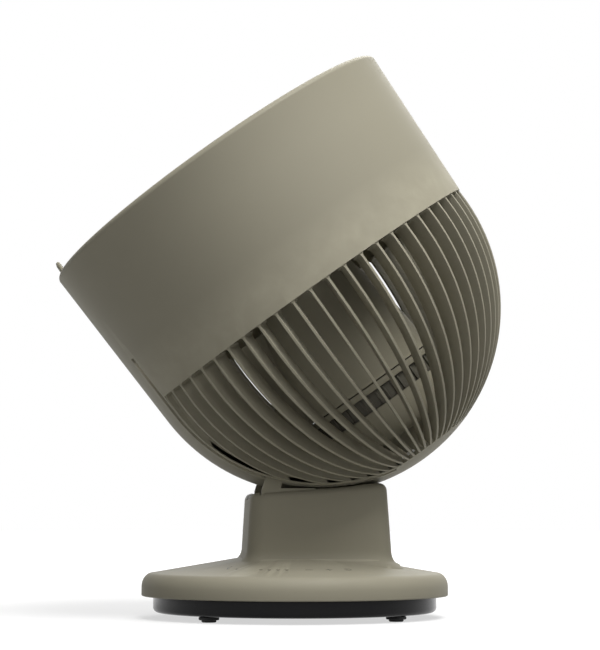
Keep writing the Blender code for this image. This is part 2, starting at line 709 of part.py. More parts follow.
def crown_height(radius, inset=0.0):
    """Height of the base top's sloping face, or of its underside, at a radius from the swing axis."""
    slope = (SHOULDER_Z - CROWN_Z) / (SHOULDER_R - inset - CROWN_R)
    return CROWN_Z - inset + slope * (radius - CROWN_R)


def neck_loops():
    """The neck's outer loops, with a flared foot and a rounded top."""
    loops = []

    def level(height, front, rear, side, rise=0.0):
        loop = rounded_loop(NECK_HALF_X + side, SWING_BACK - NECK_FRONT - front,
                            SWING_BACK + NECK_REAR + rear, NECK_CORNER, height)
        start = SWING_BACK - NECK_RISE_START
        long = NECK_RISE_START + NECK_REAR
        loops.append([(x, y, z + rise * min(1.0, max(0.0, (y - start) / long))) for x, y, z in loop])

    for k in range(4):
        rise = k / 3
        flare = 1 - math.sqrt(1 - (1 - rise) ** 2)
        level(NECK_FOOT_Z + NECK_FOOT_ROUND * rise, NECK_FOOT_ROUND * flare, NECK_SIDE_FOOT * flare,
              NECK_SIDE_FOOT * flare)
    for k in range(4):
        turn = math.pi / 6 * k
        inward = 1 - math.cos(turn)
        level(NECK_TOP - NECK_TOP_ROUND * (1 - math.sin(turn)), -NECK_TOP_ROUND * inward,
              -NECK_REAR_ROUND * inward, -NECK_REAR_ROUND * inward, NECK_RISE)
    return loops


def floor_screw_spots(height):
    """The four screws around the turret's floor."""
    return [on_ring(FLOOR_SCREW_RING, math.pi / 2 * (k + 0.5), height) for k in range(4)]


def bridge_screw_spots(height):
    """The two screws that hold the tilt bridge up against the neck's roof."""
    return [(0.0, SWING_BACK - NECK_FRONT * part, height) for part in (0.2, 0.7)]


def lamp_spots(height):
    """The four indicator lamps in the base top."""
    turns = [LAMP_MIDDLE + LAMP_PITCH * (k - (LAMP_COUNT - 1) / 2) for k in range(LAMP_COUNT)]
    return [on_ring(CONTROL_RING, t, height) for t in turns]


def dish_line(room):
    """The head's outline with room around it, for the dish that it clears when it is level."""
    return [(0.0, HOOD_FRONT)] + head_line(-room, 16)


def make_base_housing():
    """Base top and neck, one hollow moulding open at the bottom."""
    line = crown_line(0.0)
    housing = turned("base_housing", line + [(SKIRT_R, SKIRT_BOTTOM), (0.0, SKIRT_BOTTOM)], turret, TAUPE, 48)
    join(housing, loft("neck_blank", neck_loops(), turret))
    under = crown_line(TOP_WALL)
    inner_r = SKIRT_R - TOP_WALL
    below = SKIRT_BOTTOM - BITE
    cut(housing, turned("base_hollow", under + [(inner_r, below), (0.0, below)], turret, None, 48))
    levels = (BOARD_Z, NECK_TOP - NECK_ROOF)
    hollow = [rounded_loop(NECK_HALF_X - NECK_WALL, SWING_BACK - NECK_FRONT + NECK_WALL,
                           SWING_BACK + NECK_REAR - NECK_WALL, NECK_CORNER - NECK_WALL, z) for z in levels]
    cut(housing, loft("neck_hollow", hollow, turret))
    cut(housing, turned("tilt_dish", dish_line(DISH_ROOM), lowest, None, DISH_FACETS))
    ends = (SWING_BACK - NECK_FRONT * 0.84, SWING_BACK - LEDGE_BACK + RUN)
    for side, across in sides(SLOT_IN, SLOT_OUT):
        cut(housing, box(f"shoe_hole_{side}", (across[0], ends[0], NECK_TOP - 2 * NECK_ROOF),
                         (across[1], ends[1], NECK_TOP + NECK_ROOF), turret))
    foot = FLOOR_HIGH + GAP
    bosses = posts("floor_bosses", floor_screw_spots(foot), [(BOSS_SCREW_R, 0.0),
                   (BOSS_SCREW_R, crown_height(FLOOR_SCREW_RING) - foot - TOP_WALL / 2)], turret)
    roof = NECK_TOP - NECK_ROOF
    studs = posts("bridge_bosses", bridge_screw_spots(BRIDGE_TOP + GAP),
                  [(BOSS_SCREW_R, 0.0), (BOSS_SCREW_R, roof + BITE - BRIDGE_TOP - GAP)], turret)
    join(housing, bosses, studs)
    hole = SCREW_R + GAP
    cut(housing, posts("floor_holes", floor_screw_spots(foot - BITE), [(hole, 0.0), (hole, SCREW_LONG)],
                       turret))
    cut(housing, posts("bridge_holes", bridge_screw_spots(BRIDGE_TOP - BITE),
                       [(hole, 0.0), (hole, SCREW_LONG / 2 + BITE)], turret))
    lamp = [(LAMP_R + GAP, 0.0), (LAMP_R + GAP, SHOULDER_Z)]
    cut(housing, posts("lamp_holes", lamp_spots(BOARD_Z), lamp, turret))


def make_tilt_shoes():
    """Bridge in the neck, and on each side a shoe whose hook passes up into the head."""
    top = BRIDGE_TOP
    front = -NECK_FRONT * 0.82
    bridge_x = NECK_HALF_X - NECK_WALL - RUN
    bridge = box("tilt_bridge", (-bridge_x, SWING_BACK + front, top - BRIDGE_T),
                 (bridge_x, SWING_BACK - LEDGE_BACK, top), turret, STEEL)
    hole = [(SCREW_R + GAP, 0.0), (SCREW_R + GAP, BRIDGE_T + 2 * BITE)]
    cut(bridge, posts("bridge_slots", bridge_screw_spots(top - BRIDGE_T - BITE), hole, turret))
    screw = [(SCREW_HEAD_R, -SCREW_HEAD_T), (SCREW_HEAD_R, 0.0), (SCREW_R, 0.0),
             (SCREW_R, BRIDGE_T + SCREW_LONG / 2)]
    each_post("bridge_screw", bridge_screw_spots(top - BRIDGE_T - GAP), screw, turret, STEEL)
    drop = NECK_TOP - NECK_ROOF - PIVOT_Z
    low = top + GAP - PIVOT_Z
    ledge = LEDGE_TOP - PIVOT_Z
    turns = [SHOE_BACK + (SHOE_FRONT - SHOE_BACK) * k / 3 for k in range(4)]
    leg = [(-LEDGE_BACK, low + NUDGE), (-LEDGE_BACK, ledge), (ledge * math.tan(SHOE_BACK), ledge)]
    leg += [(-HOOK_INNER * math.sin(t), -HOOK_INNER * math.cos(t)) for t in turns]
    leg += [(front + RUN, (front + RUN) / math.tan(SHOE_FRONT)), (front + RUN, low + NUDGE)]
    for side, across in sides(SLOT_IN + SLOT_ROOM, SLOT_OUT - SLOT_ROOM):
        shoe = loft(f"tilt_shoe_{side}", [[(x, y, z) for y, z in leg] for x in across], pivot, TAUPE)
        wide = dict(sides(HOOK_IN, SLOT_OUT - SLOT_ROOM - NUDGE))[side]
        hook = arc_bar(f"hook_{side}", wide, HOOK_INNER + NUDGE, HOOK_OUTER, HOOK_BACK, SHOE_FRONT - NUDGE,
                       pivot, None, 6)
        flange = box(f"shoe_flange_{side}", (wide[0], front + 2 * RUN, low),
                     (wide[1], -LEDGE_BACK - RUN, drop - GAP), pivot)
        join(shoe, hook, flange)
        pad_x = dict(sides(HOOK_IN, RAIL_OUT_X - GAP))[side]
        arc_bar(f"friction_pad_{side}", pad_x, PAD_INNER, RAIL_INNER - GAP, HOOK_BACK, SHOE_FRONT,
                pivot, FELT, 6)


def make_seat_pads():
    """Two felt pads in the neck's dish that the ball rests on."""
    spots = [(x, BAND_HALF / 2, -PIVOT_Z) for x in (-BAND_HALF / 2.6, BAND_HALF / 2.6)]
    blank = [(SEAT_PAD_R, NECK_TOP - NECK_ROOF), (SEAT_PAD_R, NECK_TOP)]
    pads = each_post("seat_pad", spots, blank, pivot, FELT, 12)
    over = turned("pad_top", [(0.0, BALL_R + GAP)] + [on_ball(math.pi * k / 60, BALL_R + GAP) for k in range(1, 60)]
                  + [(0.0, -BALL_R - GAP)], pivot, None, RIB_COUNT)
    under = turned("pad_base", dish_line(DISH_ROOM - GAP), lowest, None, DISH_FACETS)
    for pad in pads:
        cut(pad, over)
        boolean(pad, [under], "INTERSECT")


def make_turret_floor():
    """Floor under the base top, its hub tube, the retaining ring and the screws."""
    tube_in = HUB_TUBE_R - HUB_TUBE_WALL
    low = PILLAR_TOP - PILLAR_LIP
    edge = SKIRT_R - TOP_WALL - 2 * GAP
    floor = turned("turret_floor", [(edge, FLOOR_HIGH), (edge, FLOOR_Z), (HUB_TUBE_R, FLOOR_Z),
                                    (HUB_TUBE_R, low), (tube_in, low), (tube_in, FLOOR_HIGH)],
                   turret, BLACK, 40)
    shaft_hole = posts("pinion_hole", [(0.0, GEAR_R + PINION_R, FLOOR_Z - BITE)],
                       [(2 * PINION_SHAFT_R, 0.0), (2 * PINION_SHAFT_R, 2 * BITE + FLOOR_T)], turret)
    hole = [(SCREW_R + GAP, 0.0), (SCREW_R + GAP, FLOOR_T + 2 * BITE)]
    cut(floor, shaft_hole, posts("floor_slots", floor_screw_spots(FLOOR_Z - BITE), hole, turret))
    screw = [(SCREW_HEAD_R, -SCREW_HEAD_T), (SCREW_HEAD_R, 0.0), (SCREW_R, 0.0),
             (SCREW_R, FLOOR_T + SCREW_LONG - 2 * BITE)]
    each_post("floor_screw", floor_screw_spots(FLOOR_Z - GAP), screw, turret, STEEL)
    ring_top = low - RETAINER_DROP
    ring = turned("hub_retainer", [(RETAINER_R, ring_top), (RETAINER_R, ring_top - RETAINER_T),
                                   (tube_in, ring_top - RETAINER_T), (tube_in, ring_top)],
                  turret, STEEL, 24)
    middle = HUB_TUBE_R - HUB_TUBE_WALL / 2
    turns = [2 * math.pi * k / 3 for k in range(3)]
    small = SCREW_R * 0.6
    spots = [on_ring(middle, t, ring_top - RETAINER_T) for t in turns]
    deep = posts("retainer_holes", spots, [(small + GAP, -BITE), (small + GAP, SCREW_LONG)], turret)
    cut(ring, deep)
    cut(floor, deep)
    pin = [(2 * small, -GAP - BITE), (2 * small, -GAP), (small, -GAP), (small, SCREW_LONG - BITE)]
    each_post("retainer_screw", spots, pin, turret, STEEL)


def gear_outline(teeth, bottom, top, bore, phase, name, parent, look):
    """A spur gear with tapered teeth, its first gap centred on the phase angle."""
    pitch_r = GEAR_MODULE * teeth / 2
    tip_r = pitch_r + 0.85 * GEAR_MODULE
    root_r = pitch_r - 1.15 * GEAR_MODULE
    half_gap = (math.pi * GEAR_MODULE / 2 + BACKLASH) / 2 / pitch_r
    lean = math.tan(math.radians(20.0)) * GEAR_MODULE / pitch_r
    outline = []
    for k in range(teeth):
        middle = phase + 2 * math.pi * k / teeth
        pitch = 2 * math.pi / teeth
        for radius, turn in ((root_r, half_gap - 1.1 * lean), (tip_r, half_gap + 0.85 * lean),
                             (tip_r, pitch - half_gap - 0.85 * lean), (root_r, pitch - half_gap + 1.1 * lean)):
            outline.append((radius, middle + turn))
    shape = bmesh.new()
    rings = [[shape.verts.new(on_ring(r, t, z)) for r, t in outline] for z in (bottom, top)]
    skin_rings(shape, rings)
    made = from_bmesh(shape, name, parent, look)
    if bore:
        hole = turned(f"{name}_bore", [(bore, top + BITE), (bore, bottom - BITE), (0.0, bottom - BITE),
                                       (0.0, top + BITE)], parent, None, 20)
        cut(made, hole)
    return made


def make_swing_drive():
    """Fixed gear on the lower base, pinion that walks round it, and the motor that turns it."""
    gear_outline(GEAR_TEETH, GEAR_Z, GEAR_Z + GEAR_T, PILLAR_R + GAP, math.pi / 2, "swing_gear", base, WHITE)
    toward = -math.pi / 2 + math.pi / PINION_TEETH
    low = GEAR_Z + 2 * GAP
    small = gear_outline(PINION_TEETH, low, low + GEAR_T, 0.0, toward, "swing_pinion", pinion, WHITE)
    body = FLOOR_HIGH + GAP
    end = body + SWING_MOTOR_T - BITE
    shaft = turned("pinion_shaft", [(0.0, end), (PINION_SHAFT_R, end), (PINION_SHAFT_R, low + GEAR_T / 2),
                                    (0.0, low + GEAR_T / 2)], pinion, None, 16)
    join(small, shaft)
    well = PINION_SHAFT_R + GAP
    turned("swing_motor", [(0.0, body + SWING_MOTOR_T + BITE), (SWING_MOTOR_R - BITE, body + SWING_MOTOR_T + BITE),
                           (SWING_MOTOR_R, body + SWING_MOTOR_T), (SWING_MOTOR_R, body), (well, body),
                           (well, end + GAP), (0.0, end + GAP)], pinion_fixed(), STEEL, 32)


def pinion_fixed():
    """An empty on the pinion's axis for the motor, which does not turn."""
    return empty("swing_motor_axis", (0.0, GEAR_R + PINION_R, 0.0), parent=turret)


def ring_strip(name, inner, outer, turns, height, thickness, parent, look):
    """A flat strip that follows a ring about Z between two turns."""

    def at(_, u, v):
        return Vector(on_ring(inner + v * (outer - inner), turns[0] + u * (turns[1] - turns[0]), height))

    return strips(name, thickness, parent, look, 1, 10, 1, at)


def make_controls():
    """Control board, its touch mat and the lamp guide under the base top's right side."""
    high = BOARD_Z + BOARD_T
    board = box("control_board", (BOARD_IN, BOARD_LOW_Y, BOARD_Z), (BOARD_OUT, BOARD_HIGH_Y, high),
                turret, GREEN)
    inset = 3 * BITE
    legs = [(x, y, FLOOR_HIGH + GAP) for x in (BOARD_IN + inset, BOARD_OUT - inset)
            for y in (BOARD_LOW_Y + inset, BOARD_HIGH_Y - inset)]
    join(board, posts("board_legs", legs, [(BOARD_LEG_R, 0.0), (BOARD_LEG_R, BOARD_Z + BITE - FLOOR_HIGH)],
                      turret))
    skin_low = high + GAP
    middle = skin_low + MAT_T / 2
    under = crown_height(CONTROL_RING + KEY_PAD_R, TOP_WALL) - GAP
    ends = (KEY_TURNS[0] - LAMP_PITCH / 2, KEY_TURNS[-1] + LAMP_PITCH / 2)
    mat = ring_strip("touch_mat", CONTROL_RING - 2 * KEY_PAD_R, CONTROL_RING - KEY_PAD_R + BITE, ends, middle,
                     MAT_T, turret, RUBBER)
    join(mat, posts("touch_pads", [on_ring(CONTROL_RING, t, middle) for t in KEY_TURNS],
                    [(KEY_PAD_R, 0.0), (KEY_PAD_R, under - middle)], turret))
    reach = LAMP_PITCH * (LAMP_COUNT + 0.5) / 2
    guide = ring_strip("lamp_guide", CONTROL_RING - LAMP_R, CONTROL_RING + LAMP_R + BITE,
                       (LAMP_MIDDLE - reach, LAMP_MIDDLE + reach), middle, MAT_T, turret, LENS)
    join(guide, posts("lamp_pins", lamp_spots(middle),
                      [(LAMP_R, 0.0), (LAMP_R, crown_height(CONTROL_RING) - middle)], turret))


def make_lower_base():
    """Black lower base with its pillar, feet, turntable ring, ballast and power inlet."""
    turns = [math.pi / 6 * k for k in range(4)]
    edge = [(LOWER_R - LOWER_ROUND * (1 - math.sin(t)), LOWER_Z + LOWER_ROUND * (1 - math.cos(t))) for t in turns]
    inner = LOWER_R - LOWER_WALL
    bore = HUB_TUBE_R + RUN
    wide = RETAINER_R + RUN
    shelf = PILLAR_TOP - PILLAR_LIP
    lower = turned("lower_base", [(0.0, LOWER_Z)] + edge + [
        (LOWER_R, LOWER_TOP), (inner, LOWER_TOP), (inner, BASE_FLOOR), (PILLAR_R, BASE_FLOOR),
        (PILLAR_R, PILLAR_TOP), (bore, PILLAR_TOP), (bore, shelf), (wide, shelf), (wide, BASE_FLOOR),
        (0.0, BASE_FLOOR)], base, BLACK, 44)
    feet = [on_ring(FEET_R, math.pi / 2 * (k + 0.5)) for k in range(4)]
    cut(lower, posts("foot_holes", feet, [(PLUG_R + GAP, LOWER_Z - BITE), (PLUG_R + GAP, BASE_FLOOR + BITE)],
                     base))
    brim = LOWER_Z - GAP
    foot = [(FOOT_NOSE_R, 0.0), (FOOT_NOSE_R, FOOT_STEP), (FOOT_R, FOOT_STEP), (FOOT_R, brim),
            (PLUG_R, brim), (PLUG_R, PLUG_END)]
    each_post("rubber_foot", feet, foot, base, RUBBER, 14)
    turned("turntable_ring", [(RING_OUT, FLOOR_Z - GAP), (RING_OUT, GEAR_Z), (RING_IN, GEAR_Z),
                              (RING_IN, FLOOR_Z - GAP)], base, WHITE, 40)
    top = GEAR_Z + BALLAST_T
    ballast = turned("ballast_plate", [(BALLAST_OUT, top), (BALLAST_OUT, GEAR_Z), (BALLAST_IN, GEAR_Z),
                                       (BALLAST_IN, top)], base, STEEL, 32)
    spots = [on_ring(BALLAST_SCREW_RING, 2 * math.pi / 3 * (k + 0.5), top) for k in range(3)]
    hole = [(SCREW_R + GAP, LOWER_Z + BITE - top), (SCREW_R + GAP, BITE)]
    holes = posts("ballast_holes", spots, hole, base)
    cut(ballast, holes)
    cut(lower, holes)
    screw = [(SCREW_R, LOWER_Z + 1.5 * BITE - top), (SCREW_R, GAP), (SCREW_HEAD_R, GAP),
             (SCREW_HEAD_R, GAP + SCREW_HEAD_T)]
    each_post("ballast_screw", spots, screw, base, STEEL)
    half = INLET_W / 2
    back = LOWER_R - LOWER_WALL / 4
    inlet = box("power_inlet", (-half, back - INLET_D, GEAR_Z), (half, back, INLET_HIGH), base, DARK)
    cut(lower, box("inlet_hole", (-half - GAP, back - INLET_D, BASE_FLOOR), (half + GAP, LOWER_R + BITE,
                                                                           INLET_HIGH + GAP), base))
    axis = empty("inlet_axis", (0.0, back, (GEAR_Z + INLET_HIGH) / 2), -math.pi / 2, base)
    cut(inlet, turned("inlet_bore", [(INLET_BORE, BITE), (INLET_BORE, 2 * BITE - INLET_D), (BITE, 2 * BITE - INLET_D),
                                     (BITE, -BITE), (0.0, -BITE), (0.0, BITE)], axis, None, 20))


make_head_shell()
make_tilt_rails()
make_pod()
make_pod_strut()
make_motor()
make_fan()
make_grille()
make_base_housing()
make_tilt_shoes()
make_seat_pads()
make_turret_floor()
make_swing_drive()
make_controls()
make_lower_base()
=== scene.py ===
"""Looks of the desk air circulator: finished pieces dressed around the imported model.

The head is modelled upright on its own axis, with its ball's centre at the origin and its mouth
upwards, and is then leaned back into place. The base pieces stand on the swing axis.
"""
from __future__ import annotations

import json
import logging
import math
from dataclasses import dataclass, field
from enum import Enum
from typing import Callable, Sequence

import bpy
from mathutils import Matrix, Vector

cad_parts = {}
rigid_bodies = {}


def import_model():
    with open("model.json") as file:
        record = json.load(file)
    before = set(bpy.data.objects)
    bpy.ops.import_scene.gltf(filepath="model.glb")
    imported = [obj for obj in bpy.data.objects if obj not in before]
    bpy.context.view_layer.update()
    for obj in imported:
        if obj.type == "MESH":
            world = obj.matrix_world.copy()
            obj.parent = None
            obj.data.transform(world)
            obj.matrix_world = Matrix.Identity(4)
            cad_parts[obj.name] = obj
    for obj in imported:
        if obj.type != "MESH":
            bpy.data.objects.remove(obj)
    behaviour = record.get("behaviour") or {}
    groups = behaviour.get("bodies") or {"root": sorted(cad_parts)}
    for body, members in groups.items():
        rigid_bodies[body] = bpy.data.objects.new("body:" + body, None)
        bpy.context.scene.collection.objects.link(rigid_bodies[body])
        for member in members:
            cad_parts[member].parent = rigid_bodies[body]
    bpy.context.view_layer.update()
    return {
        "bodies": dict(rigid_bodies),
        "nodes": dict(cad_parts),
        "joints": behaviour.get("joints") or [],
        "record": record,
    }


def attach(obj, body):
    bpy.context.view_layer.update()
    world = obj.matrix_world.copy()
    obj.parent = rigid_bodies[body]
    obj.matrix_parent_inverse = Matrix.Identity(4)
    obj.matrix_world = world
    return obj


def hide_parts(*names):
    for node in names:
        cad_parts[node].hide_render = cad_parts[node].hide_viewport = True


LOG = logging.getLogger("air_circulator")
Outline = Sequence[tuple[float, float]]
Colour = tuple[float, float, float]


class Body(Enum):
    """Names of the moving bodies that pieces ride on."""

    BASE = "lower_base_body"
    TURRET = "turret"
    HEAD = "head"
    FAN = "fan"
    PINION = "pinion"


class Slot(Enum):
    """Names of the record's material slots, listed beside the pod's pieces."""

    TAUPE = "taupe_plastic"
    BLACK = "black_gloss"
    DARK = "dark_plastic"
    RUBBER = "rubber"
    LENS = "lens"
    STEEL = "steel"


@dataclass(frozen=True)
class Studio:
    """Camera, floor, world and lamps.

    The camera's place is counted from the tilt pivot.
    """

    camera_offset: tuple[float, float, float] = (1.2506858, -0.1231717, -0.131618)
    forward: tuple[float, float, float] = (-0.9913343, 0.0899657, 0.09572107)
    right: tuple[float, float, float] = (0.0904509, 0.9959006, 0.00073387)
    up: tuple[float, float, float] = (0.0952626, -0.0093856, 0.9954079)
    lens: float = 117.97
    floor_size: float = 12.0

    def set_camera(self, pivot: Vector) -> None:
        """Place the camera at the photograph's viewing angle.

        Args:
            pivot: centre of the head's ball.
        """
        data = bpy.data.cameras.new("camera")
        data.sensor_fit = "HORIZONTAL"
        data.sensor_width = 36.0
        data.lens = self.lens
        data.clip_start = 0.05
        data.clip_end = 60.0
        camera = bpy.data.objects.new("camera", data)
        bpy.context.scene.collection.objects.link(camera)
        turn = Matrix((self.right, self.up, [-c for c in self.forward])).transposed()
        camera.matrix_world = Matrix.Translation(pivot + Vector(self.camera_offset)) @ turn.to_4x4()
        bpy.context.scene.camera = camera

    def lamp(self, name: str, spot: tuple[float, float, float], aim: Vector, size: tuple[float, float],
             power: float, tint: Colour = (1.0, 1.0, 1.0)) -> None:
        """Add one soft lamp.

        Args:
            name: the lamp's name.
            spot: where it stands.
            aim: the point that it faces.
            size: its two sides.
            power: its strength in watts.
            tint: its colour.
        """
        data = bpy.data.lights.new(name, "AREA")
        data.shape = "RECTANGLE"
        data.size, data.size_y = size
        data.energy = power
        data.color = tint
        light = bpy.data.objects.new(name, data)
        bpy.context.scene.collection.objects.link(light)
        light.location = spot
        light.rotation_euler = (aim - Vector(spot)).to_track_quat("-Z", "Y").to_euler()

    def seen_rays(self, tree: bpy.types.NodeTree) -> bpy.types.NodeSocket:
        """Mask of the rays that show the background: camera, glossy and transmission rays.

        Args:
            tree: the node tree that gets the nodes.

        Returns:
            The socket that is 1 for those rays and 0 for the others.
        """
        path = tree.nodes.new("ShaderNodeLightPath")
        socket = path.outputs["Is Camera Ray"]
        for name in ("Is Glossy Ray", "Is Transmission Ray"):
            either = tree.nodes.new("ShaderNodeMath")
            either.operation = "MAXIMUM"
            tree.links.new(socket, either.inputs[0])
            tree.links.new(path.outputs[name], either.inputs[1])
            socket = either.outputs[0]
        return socket

    def set_world(self) -> None:
        """White behind the object, and a plain soft grey for the light around it."""
        world = bpy.data.worlds.new("studio")
        bpy.context.scene.world = world
        world.use_nodes = True
        tree = world.node_tree
        tree.nodes.clear()
        out = tree.nodes.new("ShaderNodeOutputWorld")
        mix = tree.nodes.new("ShaderNodeMixShader")
        light = tree.nodes.new("ShaderNodeBackground")
        seen = tree.nodes.new("ShaderNodeBackground")
        light.inputs["Color"].default_value = (1.0, 0.98, 0.90, 1.0)
        light.inputs["Strength"].default_value = 0.04
        seen.inputs["Color"].default_value = (1.0, 1.0, 1.0, 1.0)
        seen.inputs["Strength"].default_value = 1.0
        tree.links.new(self.seen_rays(tree), mix.inputs["Fac"])
        tree.links.new(light.outputs[0], mix.inputs[1])
        tree.links.new(seen.outputs[0], mix.inputs[2])
        tree.links.new(mix.outputs[0], out.inputs["Surface"])

    def set_floor(self) -> None:
        """A pale floor that keeps the object's shadow."""
        clear_selection()
        bpy.ops.mesh.primitive_plane_add(size=self.floor_size, location=(0.0, 0.0, 0.0))
        floor = bpy.context.object
        floor.name = "floor"
        material = bpy.data.materials.new("pale_floor")
        material.use_nodes = True
        tree = material.node_tree
        shader = tree.nodes["Principled BSDF"]
        shader.inputs["Base Color"].default_value = (0.34, 0.34, 0.34, 1.0)
        shader.inputs["Roughness"].default_value = 0.9
        shader.inputs["Specular IOR Level"].default_value = 0.1
        glow = tree.nodes.new("ShaderNodeEmission")
        place = tree.nodes.new("ShaderNodeTexCoord")
        far = tree.nodes.new("ShaderNodeVectorMath")
        far.operation = "LENGTH"
        fade = tree.nodes.new("ShaderNodeMapRange")
        fade.interpolation_type = "SMOOTHSTEP"
        fade.inputs["From Min"].default_value = 0.25
        fade.inputs["From Max"].default_value = 1.3
        fade.inputs["To Min"].default_value = 0.62
        fade.inputs["To Max"].default_value = 1.02
        tree.links.new(place.outputs["Object"], far.inputs[0])
        tree.links.new(far.outputs["Value"], fade.inputs["Value"])
        tree.links.new(fade.outputs["Result"], glow.inputs["Strength"])
        none = tree.nodes.new("ShaderNodeEmission")
        none.inputs["Strength"].default_value = 0.0
        pick = tree.nodes.new("ShaderNodeMixShader")
        both = tree.nodes.new("ShaderNodeAddShader")
        out = tree.nodes["Material Output"]
        tree.links.new(self.seen_rays(tree), pick.inputs["Fac"])
        tree.links.new(none.outputs[0], pick.inputs[1])
        tree.links.new(glow.outputs[0], pick.inputs[2])
        tree.links.new(shader.outputs[0], both.inputs[0])
        tree.links.new(pick.outputs[0], both.inputs[1])
        tree.links.new(both.outputs[0], out.inputs["Surface"])
        floor.data.materials.append(material)

    def build(self, pivot: Vector) -> None:
        """Set the whole studio around the object."""
        self.set_camera(pivot)
        self.set_world()
        self.set_floor()
        bpy.context.scene.view_settings.view_transform = "Standard"
        self.lamp("key_lamp", (0.95, 0.38, 1.95), pivot, (1.0, 1.0), 50.0)
        self.lamp("front_lamp", (1.70, 0.05, 1.25), pivot, (0.9, 0.9), 8.0)
        self.lamp("back_lamp", (-1.50, 0.30, 1.40), pivot, (1.2, 1.2), 20.0)
        self.lamp("top_lamp", (0.1, 0.4, 2.0), pivot, (1.4, 1.4), 9.0)


def clear_selection() -> None:
    """Leave edit mode and deselect every object."""
    if bpy.context.object and bpy.context.object.mode != "OBJECT":
        bpy.ops.object.mode_set(mode="OBJECT")
    bpy.ops.object.select_all(action="DESELECT")


def pick(piece: bpy.types.Object) -> bpy.types.Object:
    """Make one object the only selected and active one."""
    clear_selection()
    piece.select_set(True)
    bpy.context.view_layer.objects.active = piece
    return piece


def edit(piece: bpy.types.Object, mode: str = "VERT") -> None:
    """Enter edit mode on a piece with everything selected.

    Args:
        piece: the object to edit.
        mode: VERT, EDGE or FACE.
    """
    pick(piece)
    bpy.ops.object.mode_set(mode="EDIT")
    bpy.ops.mesh.select_mode(type=mode)
    bpy.ops.mesh.select_all(action="SELECT")


def choose(piece: bpy.types.Object, mode: str, test: Callable[[object], bool]) -> None:
    """Enter edit mode with only what passes a test selected.

    Args:
        piece: the object to edit.
        mode: EDGE or FACE.
        test: tells whether an edge or a face is selected.
    """
    edit(piece, mode)
    bpy.ops.mesh.select_all(action="DESELECT")
    leave()
    for item in piece.data.edges if mode == "EDGE" else piece.data.polygons:
        item.select = test(item)
    bpy.ops.object.mode_set(mode="EDIT")


def leave() -> None:
    """Go back to object mode."""
    bpy.ops.object.mode_set(mode="OBJECT")


def settle(piece: bpy.types.Object, threshold: float = 1e-6) -> bpy.types.Object:
    """Merge doubles and turn every face outwards."""
    edit(piece)
    bpy.ops.mesh.remove_doubles(threshold=threshold)
    bpy.ops.mesh.normals_make_consistent(inside=False)
    leave()
    return piece


def moved(piece: bpy.types.Object, matrix: Matrix) -> bpy.types.Object:
    """Put a piece in place and apply that place to its mesh."""
    pick(piece)
    piece.matrix_world = matrix @ piece.matrix_world
    bpy.ops.object.transform_apply(location=True, rotation=True, scale=True)
    return piece


def copied(piece: bpy.types.Object, matrix: Matrix) -> bpy.types.Object:
    """Copy a piece with its own mesh, and move the copy."""
    twin = piece.copy()
    twin.data = piece.data.copy()
    bpy.context.scene.collection.objects.link(twin)
    twin.data.transform(matrix)
    if matrix.determinant() < 0:
        twin.data.flip_normals()
    return twin


def joined(name: str, pieces: Sequence[bpy.types.Object]) -> bpy.types.Object:
    """Join pieces into one object with a name."""
    clear_selection()
    for piece in pieces:
        piece.select_set(True)
    bpy.context.view_layer.objects.active = pieces[0]
    bpy.ops.object.join()
    pieces[0].name = name
    return pieces[0]


def applied(piece: bpy.types.Object, kind: str, **settings: object) -> bpy.types.Object:
    """Add a modifier with settings and apply it.

    Args:
        piece: the object to change.
        kind: Blender's name of the modifier's type.
        settings: values of the modifier's fields.
    """
    pick(piece)
    modifier = piece.modifiers.new(kind.lower(), kind)
    for key, value in settings.items():
        setattr(modifier, key, value)
    bpy.ops.object.modifier_apply(modifier=modifier.name)
    return piece


def carved(piece: bpy.types.Object, tool: bpy.types.Object, how: str = "DIFFERENCE",
           keep: bool = False) -> bpy.types.Object:
    """Cut, join or intersect a piece with a tool shape, and throw the tool away.

    Args:
        piece: the object to change.
        tool: the shape that cuts or joins it.
        how: DIFFERENCE, UNION or INTERSECT.
        keep: whether the tool stays for another use.
    """
    applied(piece, "BOOLEAN", operation=how, object=tool, solver="EXACT")
    if not keep:
        bpy.data.objects.remove(tool, do_unlink=True)
    return piece


def rounded(piece: bpy.types.Object, width: float, segments: int = 2, angle: float = 35.0) -> bpy.types.Object:
    """Round the sharp edges of a piece."""
    return applied(piece, "BEVEL", width=width, segments=segments, limit_method="ANGLE",
                   angle_limit=math.radians(angle), harden_normals=False)


def smoothed(piece: bpy.types.Object, angle: float = 32.0) -> bpy.types.Object:
    """Shade a piece smooth across shallow edges."""
    pick(piece)
    bpy.ops.object.shade_smooth_by_angle(angle=math.radians(angle))
    return piece


def drawn_line(name: str, points: Sequence[Sequence[float]], close: bool = False) -> bpy.types.Object:
    """Draw a chain of edges by extruding one corner from point to point.

    Args:
        name: the object's name.
        points: the corners in order.
        close: whether the last corner joins the first.
    """
    clear_selection()
    bpy.ops.mesh.primitive_plane_add(size=0.001, location=points[0])
    line = bpy.context.object
    line.name = name
    bpy.ops.object.transform_apply(location=True)
    edit(line)
    bpy.ops.mesh.merge(type="CENTER")
    for here, there in zip(points, points[1:]):
        step = Vector(there) - Vector(here)
        bpy.ops.mesh.extrude_region_move(TRANSFORM_OT_translate={"value": step})
    if close:
        bpy.ops.mesh.select_all(action="SELECT")
        bpy.ops.mesh.edge_face_add()
    leave()
    return line


